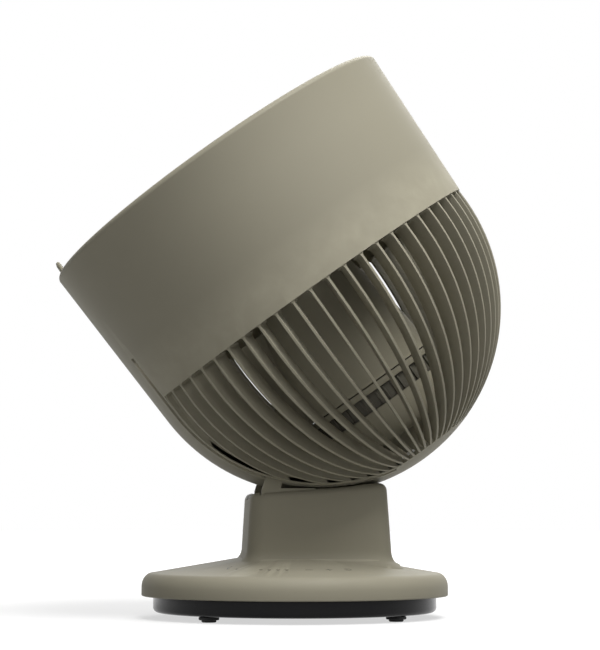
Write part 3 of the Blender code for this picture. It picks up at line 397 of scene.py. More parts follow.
def turned(name: str, outline: Outline, steps: int = 192, closed: bool = True) -> bpy.types.Object:
    """Turn an outline of (radius, height) about Z into a solid.

    Args:
        name: the object's name.
        outline: the corners; it starts and ends on the axis unless it is a closed ring.
        steps: facets around the axis.
        closed: whether the outline's last corner joins its first.

    Returns:
        The solid, with its faces pointing outwards.
    """
    points = [(radius, 0.0, height) for radius, height in outline]
    on_axis = min(radius for radius, _ in outline) < 1e-9
    if closed and not on_axis:
        points.append(points[0])
    line = drawn_line(name, points)
    edit(line)
    bpy.ops.mesh.spin(steps=steps, angle=2 * math.pi, center=(0.0, 0.0, 0.0), axis=(0.0, 0.0, 1.0))
    leave()
    return settle(line)


def block(name: str, low: Sequence[float], high: Sequence[float], bevel: float = 0.0,
          segments: int = 3) -> bpy.types.Object:
    """A block between two corners with rounded edges.

    Args:
        name: the object's name.
        low: its lowest corner.
        high: its highest corner.
        bevel: how far its edges are rounded.
        segments: facets in each rounded edge.
    """
    clear_selection()
    size = Vector(high) - Vector(low)
    bpy.ops.mesh.primitive_cube_add(size=1.0, location=(Vector(low) + Vector(high)) / 2, scale=size)
    piece = bpy.context.object
    piece.name = name
    bpy.ops.object.transform_apply(location=True, scale=True)
    if bevel:
        edit(piece, "EDGE")
        bpy.ops.mesh.bevel(offset=bevel, segments=segments, affect="EDGES")
        leave()
    return piece


def plate(name: str, outline: Outline, across: tuple[float, float]) -> bpy.types.Object:
    """A plate with an outline in Y and Z, extruded across X.

    Args:
        name: the object's name.
        outline: the plate's corners as (y, z).
        across: where it starts and ends along X.
    """
    piece = drawn_line(name, [(across[0], y, z) for y, z in outline], close=True)
    edit(piece)
    bpy.ops.mesh.extrude_region_move(TRANSFORM_OT_translate={"value": (across[1] - across[0], 0.0, 0.0)})
    leave()
    return settle(piece)


def cut_flat(piece: bpy.types.Object, point: Sequence[float], normal: Sequence[float]) -> bpy.types.Object:
    """Cut off what lies on a plane's far side, and close the cut.

    Args:
        piece: the object to cut.
        point: a point on the plane.
        normal: the direction of the side that goes.
    """
    edit(piece)
    bpy.ops.mesh.bisect(plane_co=point, plane_no=normal, use_fill=True, clear_outer=True)
    leave()
    return piece


def arc_points(middle: tuple[float, float], radius: float, start: float, end: float,
               count: int) -> list[tuple[float, float]]:
    """Points on an arc, in degrees, its two ends included."""
    turns = [math.radians(start + (end - start) * k / count) for k in range(count + 1)]
    return [(middle[0] + radius * math.cos(t), middle[1] + radius * math.sin(t)) for t in turns]


class Grain:
    """Node groups for effects that several materials share."""

    moulded: bpy.types.NodeTree
    brushed: bpy.types.NodeTree
    highlight_and_dust: bpy.types.NodeTree

    @staticmethod
    def socket(tree: bpy.types.NodeTree, name: str, way: str, kind: str, value: float | None = None) -> None:
        """Add a named input or output to a group."""
        made = tree.interface.new_socket(name=name, in_out=way, socket_type=kind)
        if value is not None:
            made.default_value = value

    @classmethod
    def build(cls) -> None:
        """Make every group."""
        cls.moulded = cls.moulded_group()
        cls.brushed = cls.brushed_group()
        cls.highlight_and_dust = cls.highlight_and_dust_group()

    @classmethod
    def moulded_group(cls) -> bpy.types.NodeTree:
        """Moulded plastic: a fine grain, faint cloudiness and a cell pattern mixed into the grain's height.

        Returns:
            A group with Tone, Rough and Height outputs.
        """
        tree = bpy.data.node_groups.new("moulded_grain", "ShaderNodeTree")
        cls.socket(tree, "Vector", "INPUT", "NodeSocketVector")
        cls.socket(tree, "Grain Scale", "INPUT", "NodeSocketFloat", 2600.0)
        cls.socket(tree, "Cloud Scale", "INPUT", "NodeSocketFloat", 14.0)
        cls.socket(tree, "Tone", "OUTPUT", "NodeSocketFloat")
        cls.socket(tree, "Rough", "OUTPUT", "NodeSocketFloat")
        cls.socket(tree, "Height", "OUTPUT", "NodeSocketFloat")
        inside = tree.nodes.new("NodeGroupInput")
        outside = tree.nodes.new("NodeGroupOutput")
        grain = tree.nodes.new("ShaderNodeTexNoise")
        grain.inputs["Detail"].default_value = 3.0
        grain.inputs["Roughness"].default_value = 0.6
        cloud = tree.nodes.new("ShaderNodeTexNoise")
        cloud.inputs["Detail"].default_value = 2.0
        cells = tree.nodes.new("ShaderNodeTexVoronoi")
        cells.feature = "SMOOTH_F1"
        blend = tree.nodes.new("ShaderNodeMix")
        blend.inputs["Factor"].default_value = 0.45
        tree.links.new(inside.outputs["Vector"], grain.inputs["Vector"])
        tree.links.new(inside.outputs["Vector"], cloud.inputs["Vector"])
        tree.links.new(inside.outputs["Vector"], cells.inputs["Vector"])
        tree.links.new(inside.outputs["Grain Scale"], grain.inputs["Scale"])
        tree.links.new(inside.outputs["Grain Scale"], cells.inputs["Scale"])
        tree.links.new(inside.outputs["Cloud Scale"], cloud.inputs["Scale"])
        tree.links.new(grain.outputs["Fac"], blend.inputs["A"])
        tree.links.new(cells.outputs["Distance"], blend.inputs["B"])
        tree.links.new(cloud.outputs["Fac"], outside.inputs["Tone"])
        tree.links.new(grain.outputs["Fac"], outside.inputs["Rough"])
        tree.links.new(blend.outputs["Result"], outside.inputs["Height"])
        return tree

    @classmethod
    def brushed_group(cls) -> bpy.types.NodeTree:
        """Turned or drawn metal: long fine lines along one direction.

        Returns:
            A group with Lines and Height outputs.
        """
        tree = bpy.data.node_groups.new("drawn_lines", "ShaderNodeTree")
        cls.socket(tree, "Vector", "INPUT", "NodeSocketVector")
        cls.socket(tree, "Scale", "INPUT", "NodeSocketFloat", 400.0)
        cls.socket(tree, "Lines", "OUTPUT", "NodeSocketFloat")
        cls.socket(tree, "Height", "OUTPUT", "NodeSocketFloat")
        inside = tree.nodes.new("NodeGroupInput")
        outside = tree.nodes.new("NodeGroupOutput")
        stretch = tree.nodes.new("ShaderNodeMapping")
        stretch.inputs["Scale"].default_value = (1.0, 1.0, 22.0)
        noise = tree.nodes.new("ShaderNodeTexNoise")
        noise.inputs["Detail"].default_value = 4.0
        tree.links.new(inside.outputs["Vector"], stretch.inputs["Vector"])
        tree.links.new(stretch.outputs["Vector"], noise.inputs["Vector"])
        tree.links.new(inside.outputs["Scale"], noise.inputs["Scale"])
        tree.links.new(noise.outputs["Fac"], outside.inputs["Lines"])
        tree.links.new(noise.outputs["Fac"], outside.inputs["Height"])
        return tree


    @classmethod
    def highlight_and_dust_group(cls) -> bpy.types.NodeTree:
        """Masks for a painted highlight along outer edges and for dust on faces that look up.

        Returns:
            A group with Edge Highlight and Dust outputs.
        """
        tree = bpy.data.node_groups.new("edge_highlight_and_dust", "ShaderNodeTree")
        cls.socket(tree, "Vector", "INPUT", "NodeSocketVector")
        cls.socket(tree, "Edge Highlight", "OUTPUT", "NodeSocketFloat")
        cls.socket(tree, "Dust", "OUTPUT", "NodeSocketFloat")
        inside = tree.nodes.new("NodeGroupInput")
        outside = tree.nodes.new("NodeGroupOutput")
        shape = tree.nodes.new("ShaderNodeNewGeometry")
        breakup = tree.nodes.new("ShaderNodeTexNoise")
        breakup.inputs["Scale"].default_value = 90.0
        breakup.inputs["Detail"].default_value = 5.0
        # Convex edges, found by pointiness, get the mask of a painted highlight.
        edge = tree.nodes.new("ShaderNodeMapRange")
        edge.inputs["From Min"].default_value = 0.53
        edge.inputs["From Max"].default_value = 0.60
        edge_highlight = tree.nodes.new("ShaderNodeMath")
        edge_highlight.operation = "MULTIPLY"
        parts = tree.nodes.new("ShaderNodeSeparateXYZ")
        upward = tree.nodes.new("ShaderNodeMapRange")
        upward.inputs["From Min"].default_value = 0.55
        dust = tree.nodes.new("ShaderNodeMath")
        dust.operation = "MULTIPLY"
        tree.links.new(inside.outputs["Vector"], breakup.inputs["Vector"])
        tree.links.new(shape.outputs["Pointiness"], edge.inputs["Value"])
        tree.links.new(edge.outputs["Result"], edge_highlight.inputs[0])
        tree.links.new(breakup.outputs["Fac"], edge_highlight.inputs[1])
        tree.links.new(shape.outputs["Normal"], parts.inputs["Vector"])
        tree.links.new(parts.outputs["Z"], upward.inputs["Value"])
        tree.links.new(upward.outputs["Result"], dust.inputs[0])
        tree.links.new(breakup.outputs["Fac"], dust.inputs[1])
        tree.links.new(edge_highlight.outputs["Value"], outside.inputs["Edge Highlight"])
        tree.links.new(dust.outputs["Value"], outside.inputs["Dust"])
        return tree


def ranged(tree: bpy.types.NodeTree, source: bpy.types.NodeSocket, low: float, high: float) -> bpy.types.NodeSocket:
    """Map a value from 0..1 to a range.

    Args:
        tree: the material's nodes.
        source: the value's output.
        low: the result at 0.
        high: the result at 1.
    """
    node = tree.nodes.new("ShaderNodeMapRange")
    node.inputs["To Min"].default_value = low
    node.inputs["To Max"].default_value = high
    tree.links.new(source, node.inputs["Value"])
    return node.outputs["Result"]


def toned(tree: bpy.types.NodeTree, source: bpy.types.NodeSocket, one: Colour, two: Colour) -> bpy.types.NodeSocket:
    """Blend two colours by a value."""
    node = tree.nodes.new("ShaderNodeMix")
    node.data_type = "RGBA"
    node.inputs["A"].default_value = (*one, 1.0)
    node.inputs["B"].default_value = (*two, 1.0)
    tree.links.new(source, node.inputs["Factor"])
    return node.outputs["Result"]


def scaled(colour: Colour, factor: float) -> Colour:
    """A colour made lighter or darker."""
    return tuple(min(1.0, c * factor) for c in colour)


@dataclass(frozen=True)
class Plastic:
    """A moulded plastic, rubber or felt finish."""

    name: str
    colour: Colour
    rough: float
    spread: float = 0.05
    rough_spread: float = 0.08
    grain: float = 2600.0
    bump: float = 0.05
    depth: float = 0.00004
    coat: float = 0.0
    coat_rough: float = 0.1
    specular: float = 0.5
    sheen: float = 0.0
    # How much lighter the colour is painted along convex edges, as a painted highlight.
    edge_highlight: float = 0.35
    dust: float = 0.05

    def build(self) -> bpy.types.Material:
        """Make the material.

        Returns:
            A material whose colour, roughness and grain vary over the surface.
        """
        made = bpy.data.materials.new(self.name)
        made.use_nodes = True
        tree = made.node_tree
        shader = tree.nodes["Principled BSDF"]
        place = tree.nodes.new("ShaderNodeTexCoord")
        grain = tree.nodes.new("ShaderNodeGroup")
        grain.node_tree = Grain.moulded
        grain.inputs["Grain Scale"].default_value = self.grain
        tree.links.new(place.outputs["Object"], grain.inputs["Vector"])
        tone = toned(tree, grain.outputs["Tone"], scaled(self.colour, 1 - self.spread),
                     scaled(self.colour, 1 + self.spread))
        tree.links.new(self.highlight_and_dust_tone(tree, place, tone), shader.inputs["Base Color"])
        rough = ranged(tree, grain.outputs["Rough"], self.rough - self.rough_spread,
                       min(1.0, self.rough + self.rough_spread))
        tree.links.new(rough, shader.inputs["Roughness"])
        bump = tree.nodes.new("ShaderNodeBump")
        bump.inputs["Strength"].default_value = self.bump
        bump.inputs["Distance"].default_value = self.depth
        tree.links.new(grain.outputs["Height"], bump.inputs["Height"])
        tree.links.new(bump.outputs["Normal"], shader.inputs["Normal"])
        shader.inputs["Specular IOR Level"].default_value = self.specular
        shader.inputs["Coat Weight"].default_value = self.coat
        shader.inputs["Coat Roughness"].default_value = self.coat_rough
        shader.inputs["Sheen Weight"].default_value = self.sheen
        return made


    def highlight_and_dust_tone(self, tree: bpy.types.NodeTree, place: bpy.types.Node,
                  tone: bpy.types.NodeSocket) -> bpy.types.NodeSocket:
        """Paint a highlight along edges by lightening a tone a little there, and lay a breath of dust on what looks up.

        Args:
            tree: the material's nodes.
            place: its texture coordinates.
            tone: the clean colour.
        """
        masks = tree.nodes.new("ShaderNodeGroup")
        masks.node_tree = Grain.highlight_and_dust
        tree.links.new(place.outputs["Object"], masks.inputs["Vector"])
        # Convex edges are painted lighter as a highlight; faces that look up get a breath of dust.
        lighter = scaled(self.colour, 1.0 + self.edge_highlight)
        for mask, colour, strength in (("Edge Highlight", lighter, 1.0), ("Dust", (0.42, 0.40, 0.36), self.dust)):
            node = tree.nodes.new("ShaderNodeMix")
            node.data_type = "RGBA"
            tree.links.new(ranged(tree, masks.outputs[mask], 0.0, strength), node.inputs["Factor"])
            tree.links.new(tone, node.inputs["A"])
            node.inputs["B"].default_value = (*colour, 1.0)
            tone = node.outputs["Result"]
        return tone


@dataclass(frozen=True)
class Metal:
    """A turned, drawn or wound metal finish."""

    name: str
    colour: Colour
    rough: float
    spread: float = 0.12
    scale: float = 400.0
    bump: float = 0.15

    def build(self) -> bpy.types.Material:
        """Make the material."""
        made = bpy.data.materials.new(self.name)
        made.use_nodes = True
        tree = made.node_tree
        shader = tree.nodes["Principled BSDF"]
        place = tree.nodes.new("ShaderNodeTexCoord")
        lines = tree.nodes.new("ShaderNodeGroup")
        lines.node_tree = Grain.brushed
        lines.inputs["Scale"].default_value = self.scale
        tree.links.new(place.outputs["Object"], lines.inputs["Vector"])
        tone = toned(tree, lines.outputs["Lines"], scaled(self.colour, 1 - self.spread),
                     scaled(self.colour, 1 + self.spread))
        tree.links.new(tone, shader.inputs["Base Color"])
        rough = ranged(tree, lines.outputs["Lines"], self.rough - 0.08, self.rough + 0.08)
        tree.links.new(rough, shader.inputs["Roughness"])
        bump = tree.nodes.new("ShaderNodeBump")
        bump.inputs["Strength"].default_value = self.bump
        bump.inputs["Distance"].default_value = 0.00005
        tree.links.new(lines.outputs["Height"], bump.inputs["Height"])
        tree.links.new(bump.outputs["Normal"], shader.inputs["Normal"])
        shader.inputs["Metallic"].default_value = 1.0
        return made


class Finish(Enum):
    """Every finish on the object."""

    TAUPE = Plastic("taupe_moulding", (0.268, 0.250, 0.190), 0.56, spread=0.035, specular=0.15)
    # The same taupe plastic painted darker for the pod and the other taupe pieces inside the head: painted shade.
    TAUPE_INNER = Plastic("taupe_painted_shade_moulding", (0.230, 0.213, 0.156), 0.58, spread=0.04, specular=0.15)
    BLACK = Plastic("black_gloss_moulding", (0.0055, 0.0055, 0.0065), 0.20, rough_spread=0.05, bump=0.02,
                    specular=0.13, coat=0.04, coat_rough=0.08)
    DARK = Plastic("dark_moulding", (0.030, 0.028, 0.024), 0.50)
    VENT = Plastic("dark_taupe_moulding", (0.062, 0.057, 0.042), 0.55, specular=0.25)
    SLIDE = Plastic("white_slide_moulding", (0.72, 0.71, 0.68), 0.42)
    RUBBER = Plastic("black_rubber_skin", (0.018, 0.018, 0.018), 0.80, grain=1200.0, bump=0.2, sheen=0.2)
    FELT = Plastic("grey_felt_fibre", (0.10, 0.10, 0.10), 0.95, grain=1500.0, bump=0.6, depth=0.0002,
                   spread=0.2, sheen=0.5)
    BOARD = Plastic("green_board_mask", (0.03, 0.16, 0.07), 0.38, grain=900.0, spread=0.15)
    LENS = Plastic("smoked_lens_moulding", (0.050, 0.047, 0.040), 0.22, bump=0.01)
    MARK = Plastic("dark_print", (0.045, 0.042, 0.034), 0.55)
    MAGNET = Plastic("dark_magnet_ferrite", (0.05, 0.05, 0.055), 0.55, bump=0.3, spread=0.2)
    STEEL = Metal("bright_steel_turned", (0.55, 0.55, 0.56), 0.32)
    COPPER = Metal("copper_winding_wire", (0.62, 0.28, 0.12), 0.34, scale=900.0, bump=0.5)

    @property
    def material(self) -> bpy.types.Material:
        """The built material of this finish."""
        return bpy.data.materials.get(self.value.name) or self.value.build()


def dress(piece: bpy.types.Object, finish: Finish) -> bpy.types.Object:
    """Give a piece one finish all over."""
    piece.data.materials.clear()
    piece.data.materials.append(finish.material)
    return piece


def place_piece(piece: bpy.types.Object, body: Body, finish: Finish,
                nodes: Sequence[str] = ()) -> bpy.types.Object:
    """Dress a finished piece, put it on its body and report it.

    Args:
        piece: the finished piece, in place.
        body: the body that it moves with.
        finish: its finish.
        nodes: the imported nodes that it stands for.
    """
    dress(piece, finish)
    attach(piece, body.value)
    if nodes:
        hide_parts(*nodes)
    LOG.info("%s rides on %s, %d faces", piece.name, body.value, len(piece.data.polygons))
    return piece


@dataclass
class HeadShell:
    """Hood, underside band, rear cap and cage ribs of the head."""

    place: Matrix
    pivot: Vector
    ball: float = 0.1189
    flare: float = math.radians(2.38)
    front: float = 0.1105
    wall: float = 0.0026
    lip: float = 0.0036
    seat: float = 0.0925
    slot_top: float = 0.0080
    cap: float = math.radians(160.0)
    rib_count: int = 60
    rib_half: float = 0.0008
    rib_deep: float = 0.0115
    rib_deep_end: float = 0.0060
    rib_corner: float = 0.0022
    band_half: float = 0.0364
    band_edge: float = 0.0014
    boss: float = 0.0200
    boss_wall: float = 0.0050
    boss_top: float = -0.0963
    slot_in: float = 0.0303
    slot_out: float = 0.0347
    slot_low: float = math.radians(-24.8)
    slot_high: float = math.radians(72.9)
    steps: int = 240

    def radius(self, height: float) -> float:
        """Outer radius of the hood at a height ahead of the ball's centre."""
        return self.ball / math.cos(self.flare) + height * math.tan(self.flare)

    def on_ball(self, turn: float, radius: float) -> tuple[float, float]:
        """Radius and height of a point on a ball, by its angle from the head's axis."""
        return radius * math.sin(turn), radius * math.cos(turn)

    def wall_outline(self) -> list[tuple[float, float]]:
        """Closed outline of hood, ball and boss, from the rear pole and back to it."""
        inner = self.ball - self.wall
        count = 44
        start = math.pi / 2 + self.flare
        line = [self.on_ball(math.pi - (math.pi - start) * k / count, self.ball) for k in range(count + 1)]
        line[0] = (0.0, -self.ball)
        rim = self.radius(self.front)
        line += [(self.radius(h), h) for h in (0.02, 0.05, 0.08, self.front - self.lip)]
        line += arc_points((rim - self.lip, self.front - self.lip), self.lip, 8, 90, 8)
        bore = rim - self.lip - 0.0003
        line += [(bore, self.front - 0.0004), (bore, self.seat + 0.0128)]
        line += [(self.radius(h) - self.wall, h) for h in (self.seat + 0.0126, self.seat)]
        seat = self.radius(self.seat) - self.wall
        line += [(seat - 0.003, self.seat), (seat - 0.003, self.seat - 0.002), (seat, self.seat - 0.002)]
        line += [(self.radius(h) - self.wall, h) for h in (0.05, 0.02)]
        end = math.pi - math.asin(self.boss / inner)
        count = 36
        line += [self.on_ball(start + (end - start) * k / count, inner) for k in range(count + 1)]
        bore = self.boss - self.boss_wall
        line += [(self.boss, self.boss_top + 0.0005), (self.boss - 0.0005, self.boss_top),
                 (bore + 0.0005, self.boss_top), (bore, self.boss_top + 0.0005),
                 (bore, -math.sqrt(inner ** 2 - bore ** 2)), (0.0, -inner)]
        return line

    def build_shell(self) -> bpy.types.Object:
        """The hood with its band and rear cap, cut free of the cage's windows."""
        shell = turned("head_hood", self.wall_outline(), self.steps)
        big = self.ball * 1.3
        window = turned("window_tool", [(self.ball * 0.8, self.slot_top), (big, self.slot_top),
                                        (big, -self.ball * 1.22), self.on_ball(self.cap, big),
                                        self.on_ball(self.cap, self.ball * 0.85)], self.steps)
        band = block("band_tool", (-self.band_half, -0.3, -0.3), (self.band_half, 0.0, 0.1))
        carved(window, band)
        carved(shell, window)
        moved(shell, self.place)
        for side in (-1, 1):
            carved(shell, self.slot_tool(side))
        return shell

    def slot_tool(self, side: int) -> bpy.types.Object:
        """The curved slot that a tilt hook passes through.

        Args:
            side: -1 for the left slot, 1 for the right one.
        """
        count = 40
        turns = [self.slot_low + (self.slot_high - self.slot_low) * k / count for k in range(count + 1)]
        outline = []
        for rho, order in ((self.ball * 0.8, turns), (self.ball * 1.15, turns[::-1])):
            outline += [(-rho * math.sin(t), -rho * math.cos(t)) for t in order]
        across = sorted((side * self.slot_in, side * self.slot_out))
        return moved(plate("slot_tool", outline, tuple(across)), Matrix.Translation(self.pivot))

    def rib_depth(self, turn: float) -> float:
        """How deep a rib is at an angle from the head's axis."""
        part = (turn - math.pi / 2) / (self.cap - math.pi / 2)
        return self.rib_deep + (self.rib_deep_end - self.rib_deep) * max(0.0, part) ** 2

    def rib_half_width(self, below: float) -> float:
        """Half a rib's thickness at a distance below the windows' tops."""
        if below >= self.rib_corner:
            return self.rib_half
        rise = self.rib_corner - max(0.0, below)
        return self.rib_half + self.rib_corner - math.sqrt(self.rib_corner ** 2 - rise ** 2)

    def build_rib(self) -> bpy.types.Object:
        """One rib in the plane Y = 0, with a rounded outer edge and a flared upper end."""
        top = math.acos(self.slot_top / self.ball)
        drops = [-0.0012, 0.0, 0.0001, 0.0003, 0.0006, 0.0010, 0.0015, 0.0022, 0.0040]
        turns = [top + drop / self.ball for drop in drops]
        end = self.cap + math.radians(0.9)
        turns += [turns[-1] + (end - turns[-1]) * k / 26 for k in range(1, 27)]
        skin = self.ball - 0.00005
        half = self.rib_half_width(-1.0)
        edge = [(skin - self.rib_deep, 0.7 * half), (skin - 0.0005, half), (skin - 0.00015, half - 0.00015),
                (skin, half - 0.0005)]
        edge += [(radius, -wide) for radius, wide in edge[::-1]]
        rib = drawn_line("cage_rib", [(radius * math.sin(turns[0]), wide, radius * math.cos(turns[0]))
                                      for radius, wide in edge], close=True)
        edit(rib, "FACE")
        wide, deep = half, self.rib_deep
        for before, turn in zip(turns, turns[1:]):
            bpy.ops.mesh.spin(steps=1, angle=before - turn, center=(0.0, 0.0, 0.0), axis=(0.0, 1.0, 0.0))
            half = self.rib_half_width((turn - top) * self.ball)
            depth = self.rib_depth(turn)
            outer = (skin * math.sin(turn), 0.0, skin * math.cos(turn))
            bpy.ops.transform.resize(value=(depth / deep, half / wide, depth / deep), center_override=outer)
            wide, deep = half, depth
        leave()
        return settle(rib)

    def build_cage(self) -> bpy.types.Object:
        """Every rib around the cage, and the band's two edge webs."""
        rib = self.build_rib()
        inner = self.band_half - self.band_edge
        ribs = []
        for k in range(self.rib_count):
            turn = 2 * math.pi * k / self.rib_count
            beside = abs(math.cos(turn)) * self.ball
            under = math.sin(turn) < -1e-6
            if under and beside < inner:
                continue
            twin = copied(rib, Matrix.Rotation(turn, 4, "Z"))
            if under:
                side = math.copysign(1.0, math.cos(turn))
                cut_flat(twin, (side * inner, 0.0, 0.0), (-side, 0.0, 0.0))
            ribs.append(twin)
        bpy.data.objects.remove(rib, do_unlink=True)
        ribs += [self.edge_web(side) for side in (-1, 1)]
        return moved(joined("cage_ribs", ribs), self.place)

    def edge_web(self, side: int) -> bpy.types.Object:
        """A deep web along one edge of the underside band."""
        start = math.acos(self.slot_top / self.ball) - 0.01
        turns = [start + (self.cap - start) * k / 24 for k in range(25)]
        outline = [self.on_ball(t, self.ball - 0.0006) for t in turns]
        outline += [self.on_ball(t, self.ball - self.rib_depth(t)) for t in turns[::-1]]
        web = turned("edge_web", outline, self.steps)
        cut_flat(web, (side * self.band_half, 0.0, 0.0), (side, 0.0, 0.0))
        cut_flat(web, (side * (self.band_half - self.band_edge), 0.0, 0.0), (-side, 0.0, 0.0))
        return cut_flat(web, (0.0, 0.0, 0.0), (0.0, 1.0, 0.0))

    def build(self) -> None:
        """Make the shell and the cage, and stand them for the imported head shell."""
        shell = smoothed(rounded(self.build_shell(), 0.0003, 2, 50.0))
        place_piece(shell, Body.HEAD, Finish.TAUPE, ["head_shell"])
        cage = smoothed(self.build_cage(), 40.0)
        place_piece(cage, Body.HEAD, Finish.TAUPE)


@dataclass
class MotorPod:
    """Cup, dark vent ring, mount and front cover of the motor's housing, on the head's axis."""

    place: Matrix
    radius: float = 0.0460
    wall: float = 0.0025
    nose: float = 0.0300
    nose_radius: float = 0.0330
    split: float = -0.0593
    fin_count: int = 48
    steps: int = 96
    strut_half: float = 0.0050
    strut_line: Outline = ((0.0447, -0.0598), (0.0434, -0.0350), (0.0408, -0.0150), (0.0365, 0.0060),
                           (0.0550, 0.0060), (0.0587, -0.0370), (0.0662, -0.0464), (0.0888, -0.0745),
                           (0.0776, -0.0862))

    def build_strut(self) -> bpy.types.Object:
        """Plate that steadies the pod against the band, hollowed on both sides."""
        strut = plate("pod_rib", [(-r, h) for r, h in self.strut_line], (-self.strut_half, self.strut_half))
        choose(strut, "FACE", lambda face: abs(face.normal.x) > 0.9)
        bpy.ops.mesh.inset(thickness=0.0020, depth=-0.0012)
        leave()
        return moved(rounded(strut, 0.0005, 2, 50.0), self.place)

    def cover_outline(self) -> list[tuple[float, float]]:
        """The front cover's outline, waisted towards a rounded nose."""
        low, high = self.split + self.wall, self.nose - 0.0035
        rim = self.radius - 0.0003
        slope = [(rim - (rim - self.nose_radius) * (1 - math.cos(math.pi / 2 * k / 16)), low + (high - low) * k / 16)
                 for k in range(17)]
        nose = arc_points((self.nose_radius - 0.0035, high), 0.0035, 10, 90, 6)
        inner = [(r - self.wall, h - self.wall * 0.1) for r, h in slope]
        return [(rim, self.split)] + slope + nose + [(0.0050, self.nose), (0.0050, self.nose - self.wall)] + \
            [(self.nose_radius - 0.0035, self.nose - self.wall)] + inner[::-1] + [(rim - self.wall, self.split)]

    def build(self) -> None:
        """Make the pod's four visible pieces."""
        cover = turned("pod_cover", self.cover_outline(), self.steps)
        mount = turned("pod_lip", [(self.radius, -0.0601), (self.radius, -0.0640), (0.0, -0.0640),
                                   (0.0, -0.0615), (0.0083, -0.0615), (0.0083, -0.0240), (0.0113, -0.0240),
                                   (0.0113, -0.0615), (self.radius - self.wall, -0.0615),
                                   (self.radius - self.wall, -0.0601)], self.steps)
        cup = turned("pod_cup", [(self.radius, -0.0743), (0.0458, -0.0800), (0.0450, -0.0870), (0.0436, -0.0912),
                                 (0.0412, -0.0944), (0.0384, -0.0958), (0.0370, -0.0960), (0.0, -0.0960),
                                 (0.0, -0.0935), (0.0365, -0.0935), (0.0400, -0.0915), (0.0423, -0.0875),
                                 (0.0435, -0.0743)], self.steps)
        vent = turned("pod_vent", [(0.0432, -0.0643), (0.0432, -0.0740), (0.0420, -0.0740), (0.0420, -0.0643)],
                      self.steps)
        fin = block("vent_fin", (0.0428, -0.0006, -0.0738), (0.0445, 0.0006, -0.0645), 0.0003, 2)
        fins = [copied(fin, Matrix.Rotation(2 * math.pi * k / self.fin_count, 4, "Z"))
                for k in range(self.fin_count)]
        bpy.data.objects.remove(fin, do_unlink=True)
        vent = joined("pod_vent", [vent, *fins])
        for piece in (cover, mount, cup, vent):
            moved(piece, self.place)
        rounded(mount, 0.0003, 2, 60.0)
        # The pod's taupe pieces take the darker copy of the taupe, a painted shade.
        finishes = ((cover, Finish.TAUPE_INNER, Slot.TAUPE, "pod_front_cover"),
                    (mount, Finish.TAUPE_INNER, Slot.TAUPE, "motor_mount"),
                    (cup, Finish.TAUPE_INNER, Slot.TAUPE, "pod_rear_cup"),
                    (vent, Finish.VENT, Slot.DARK, "pod_vent_ring"),
                    (self.build_strut(), Finish.TAUPE_INNER, Slot.TAUPE, "pod_strut"))
        for piece, finish, slot, node in finishes:
            place_piece(smoothed(piece), Body.HEAD, finish, [node])


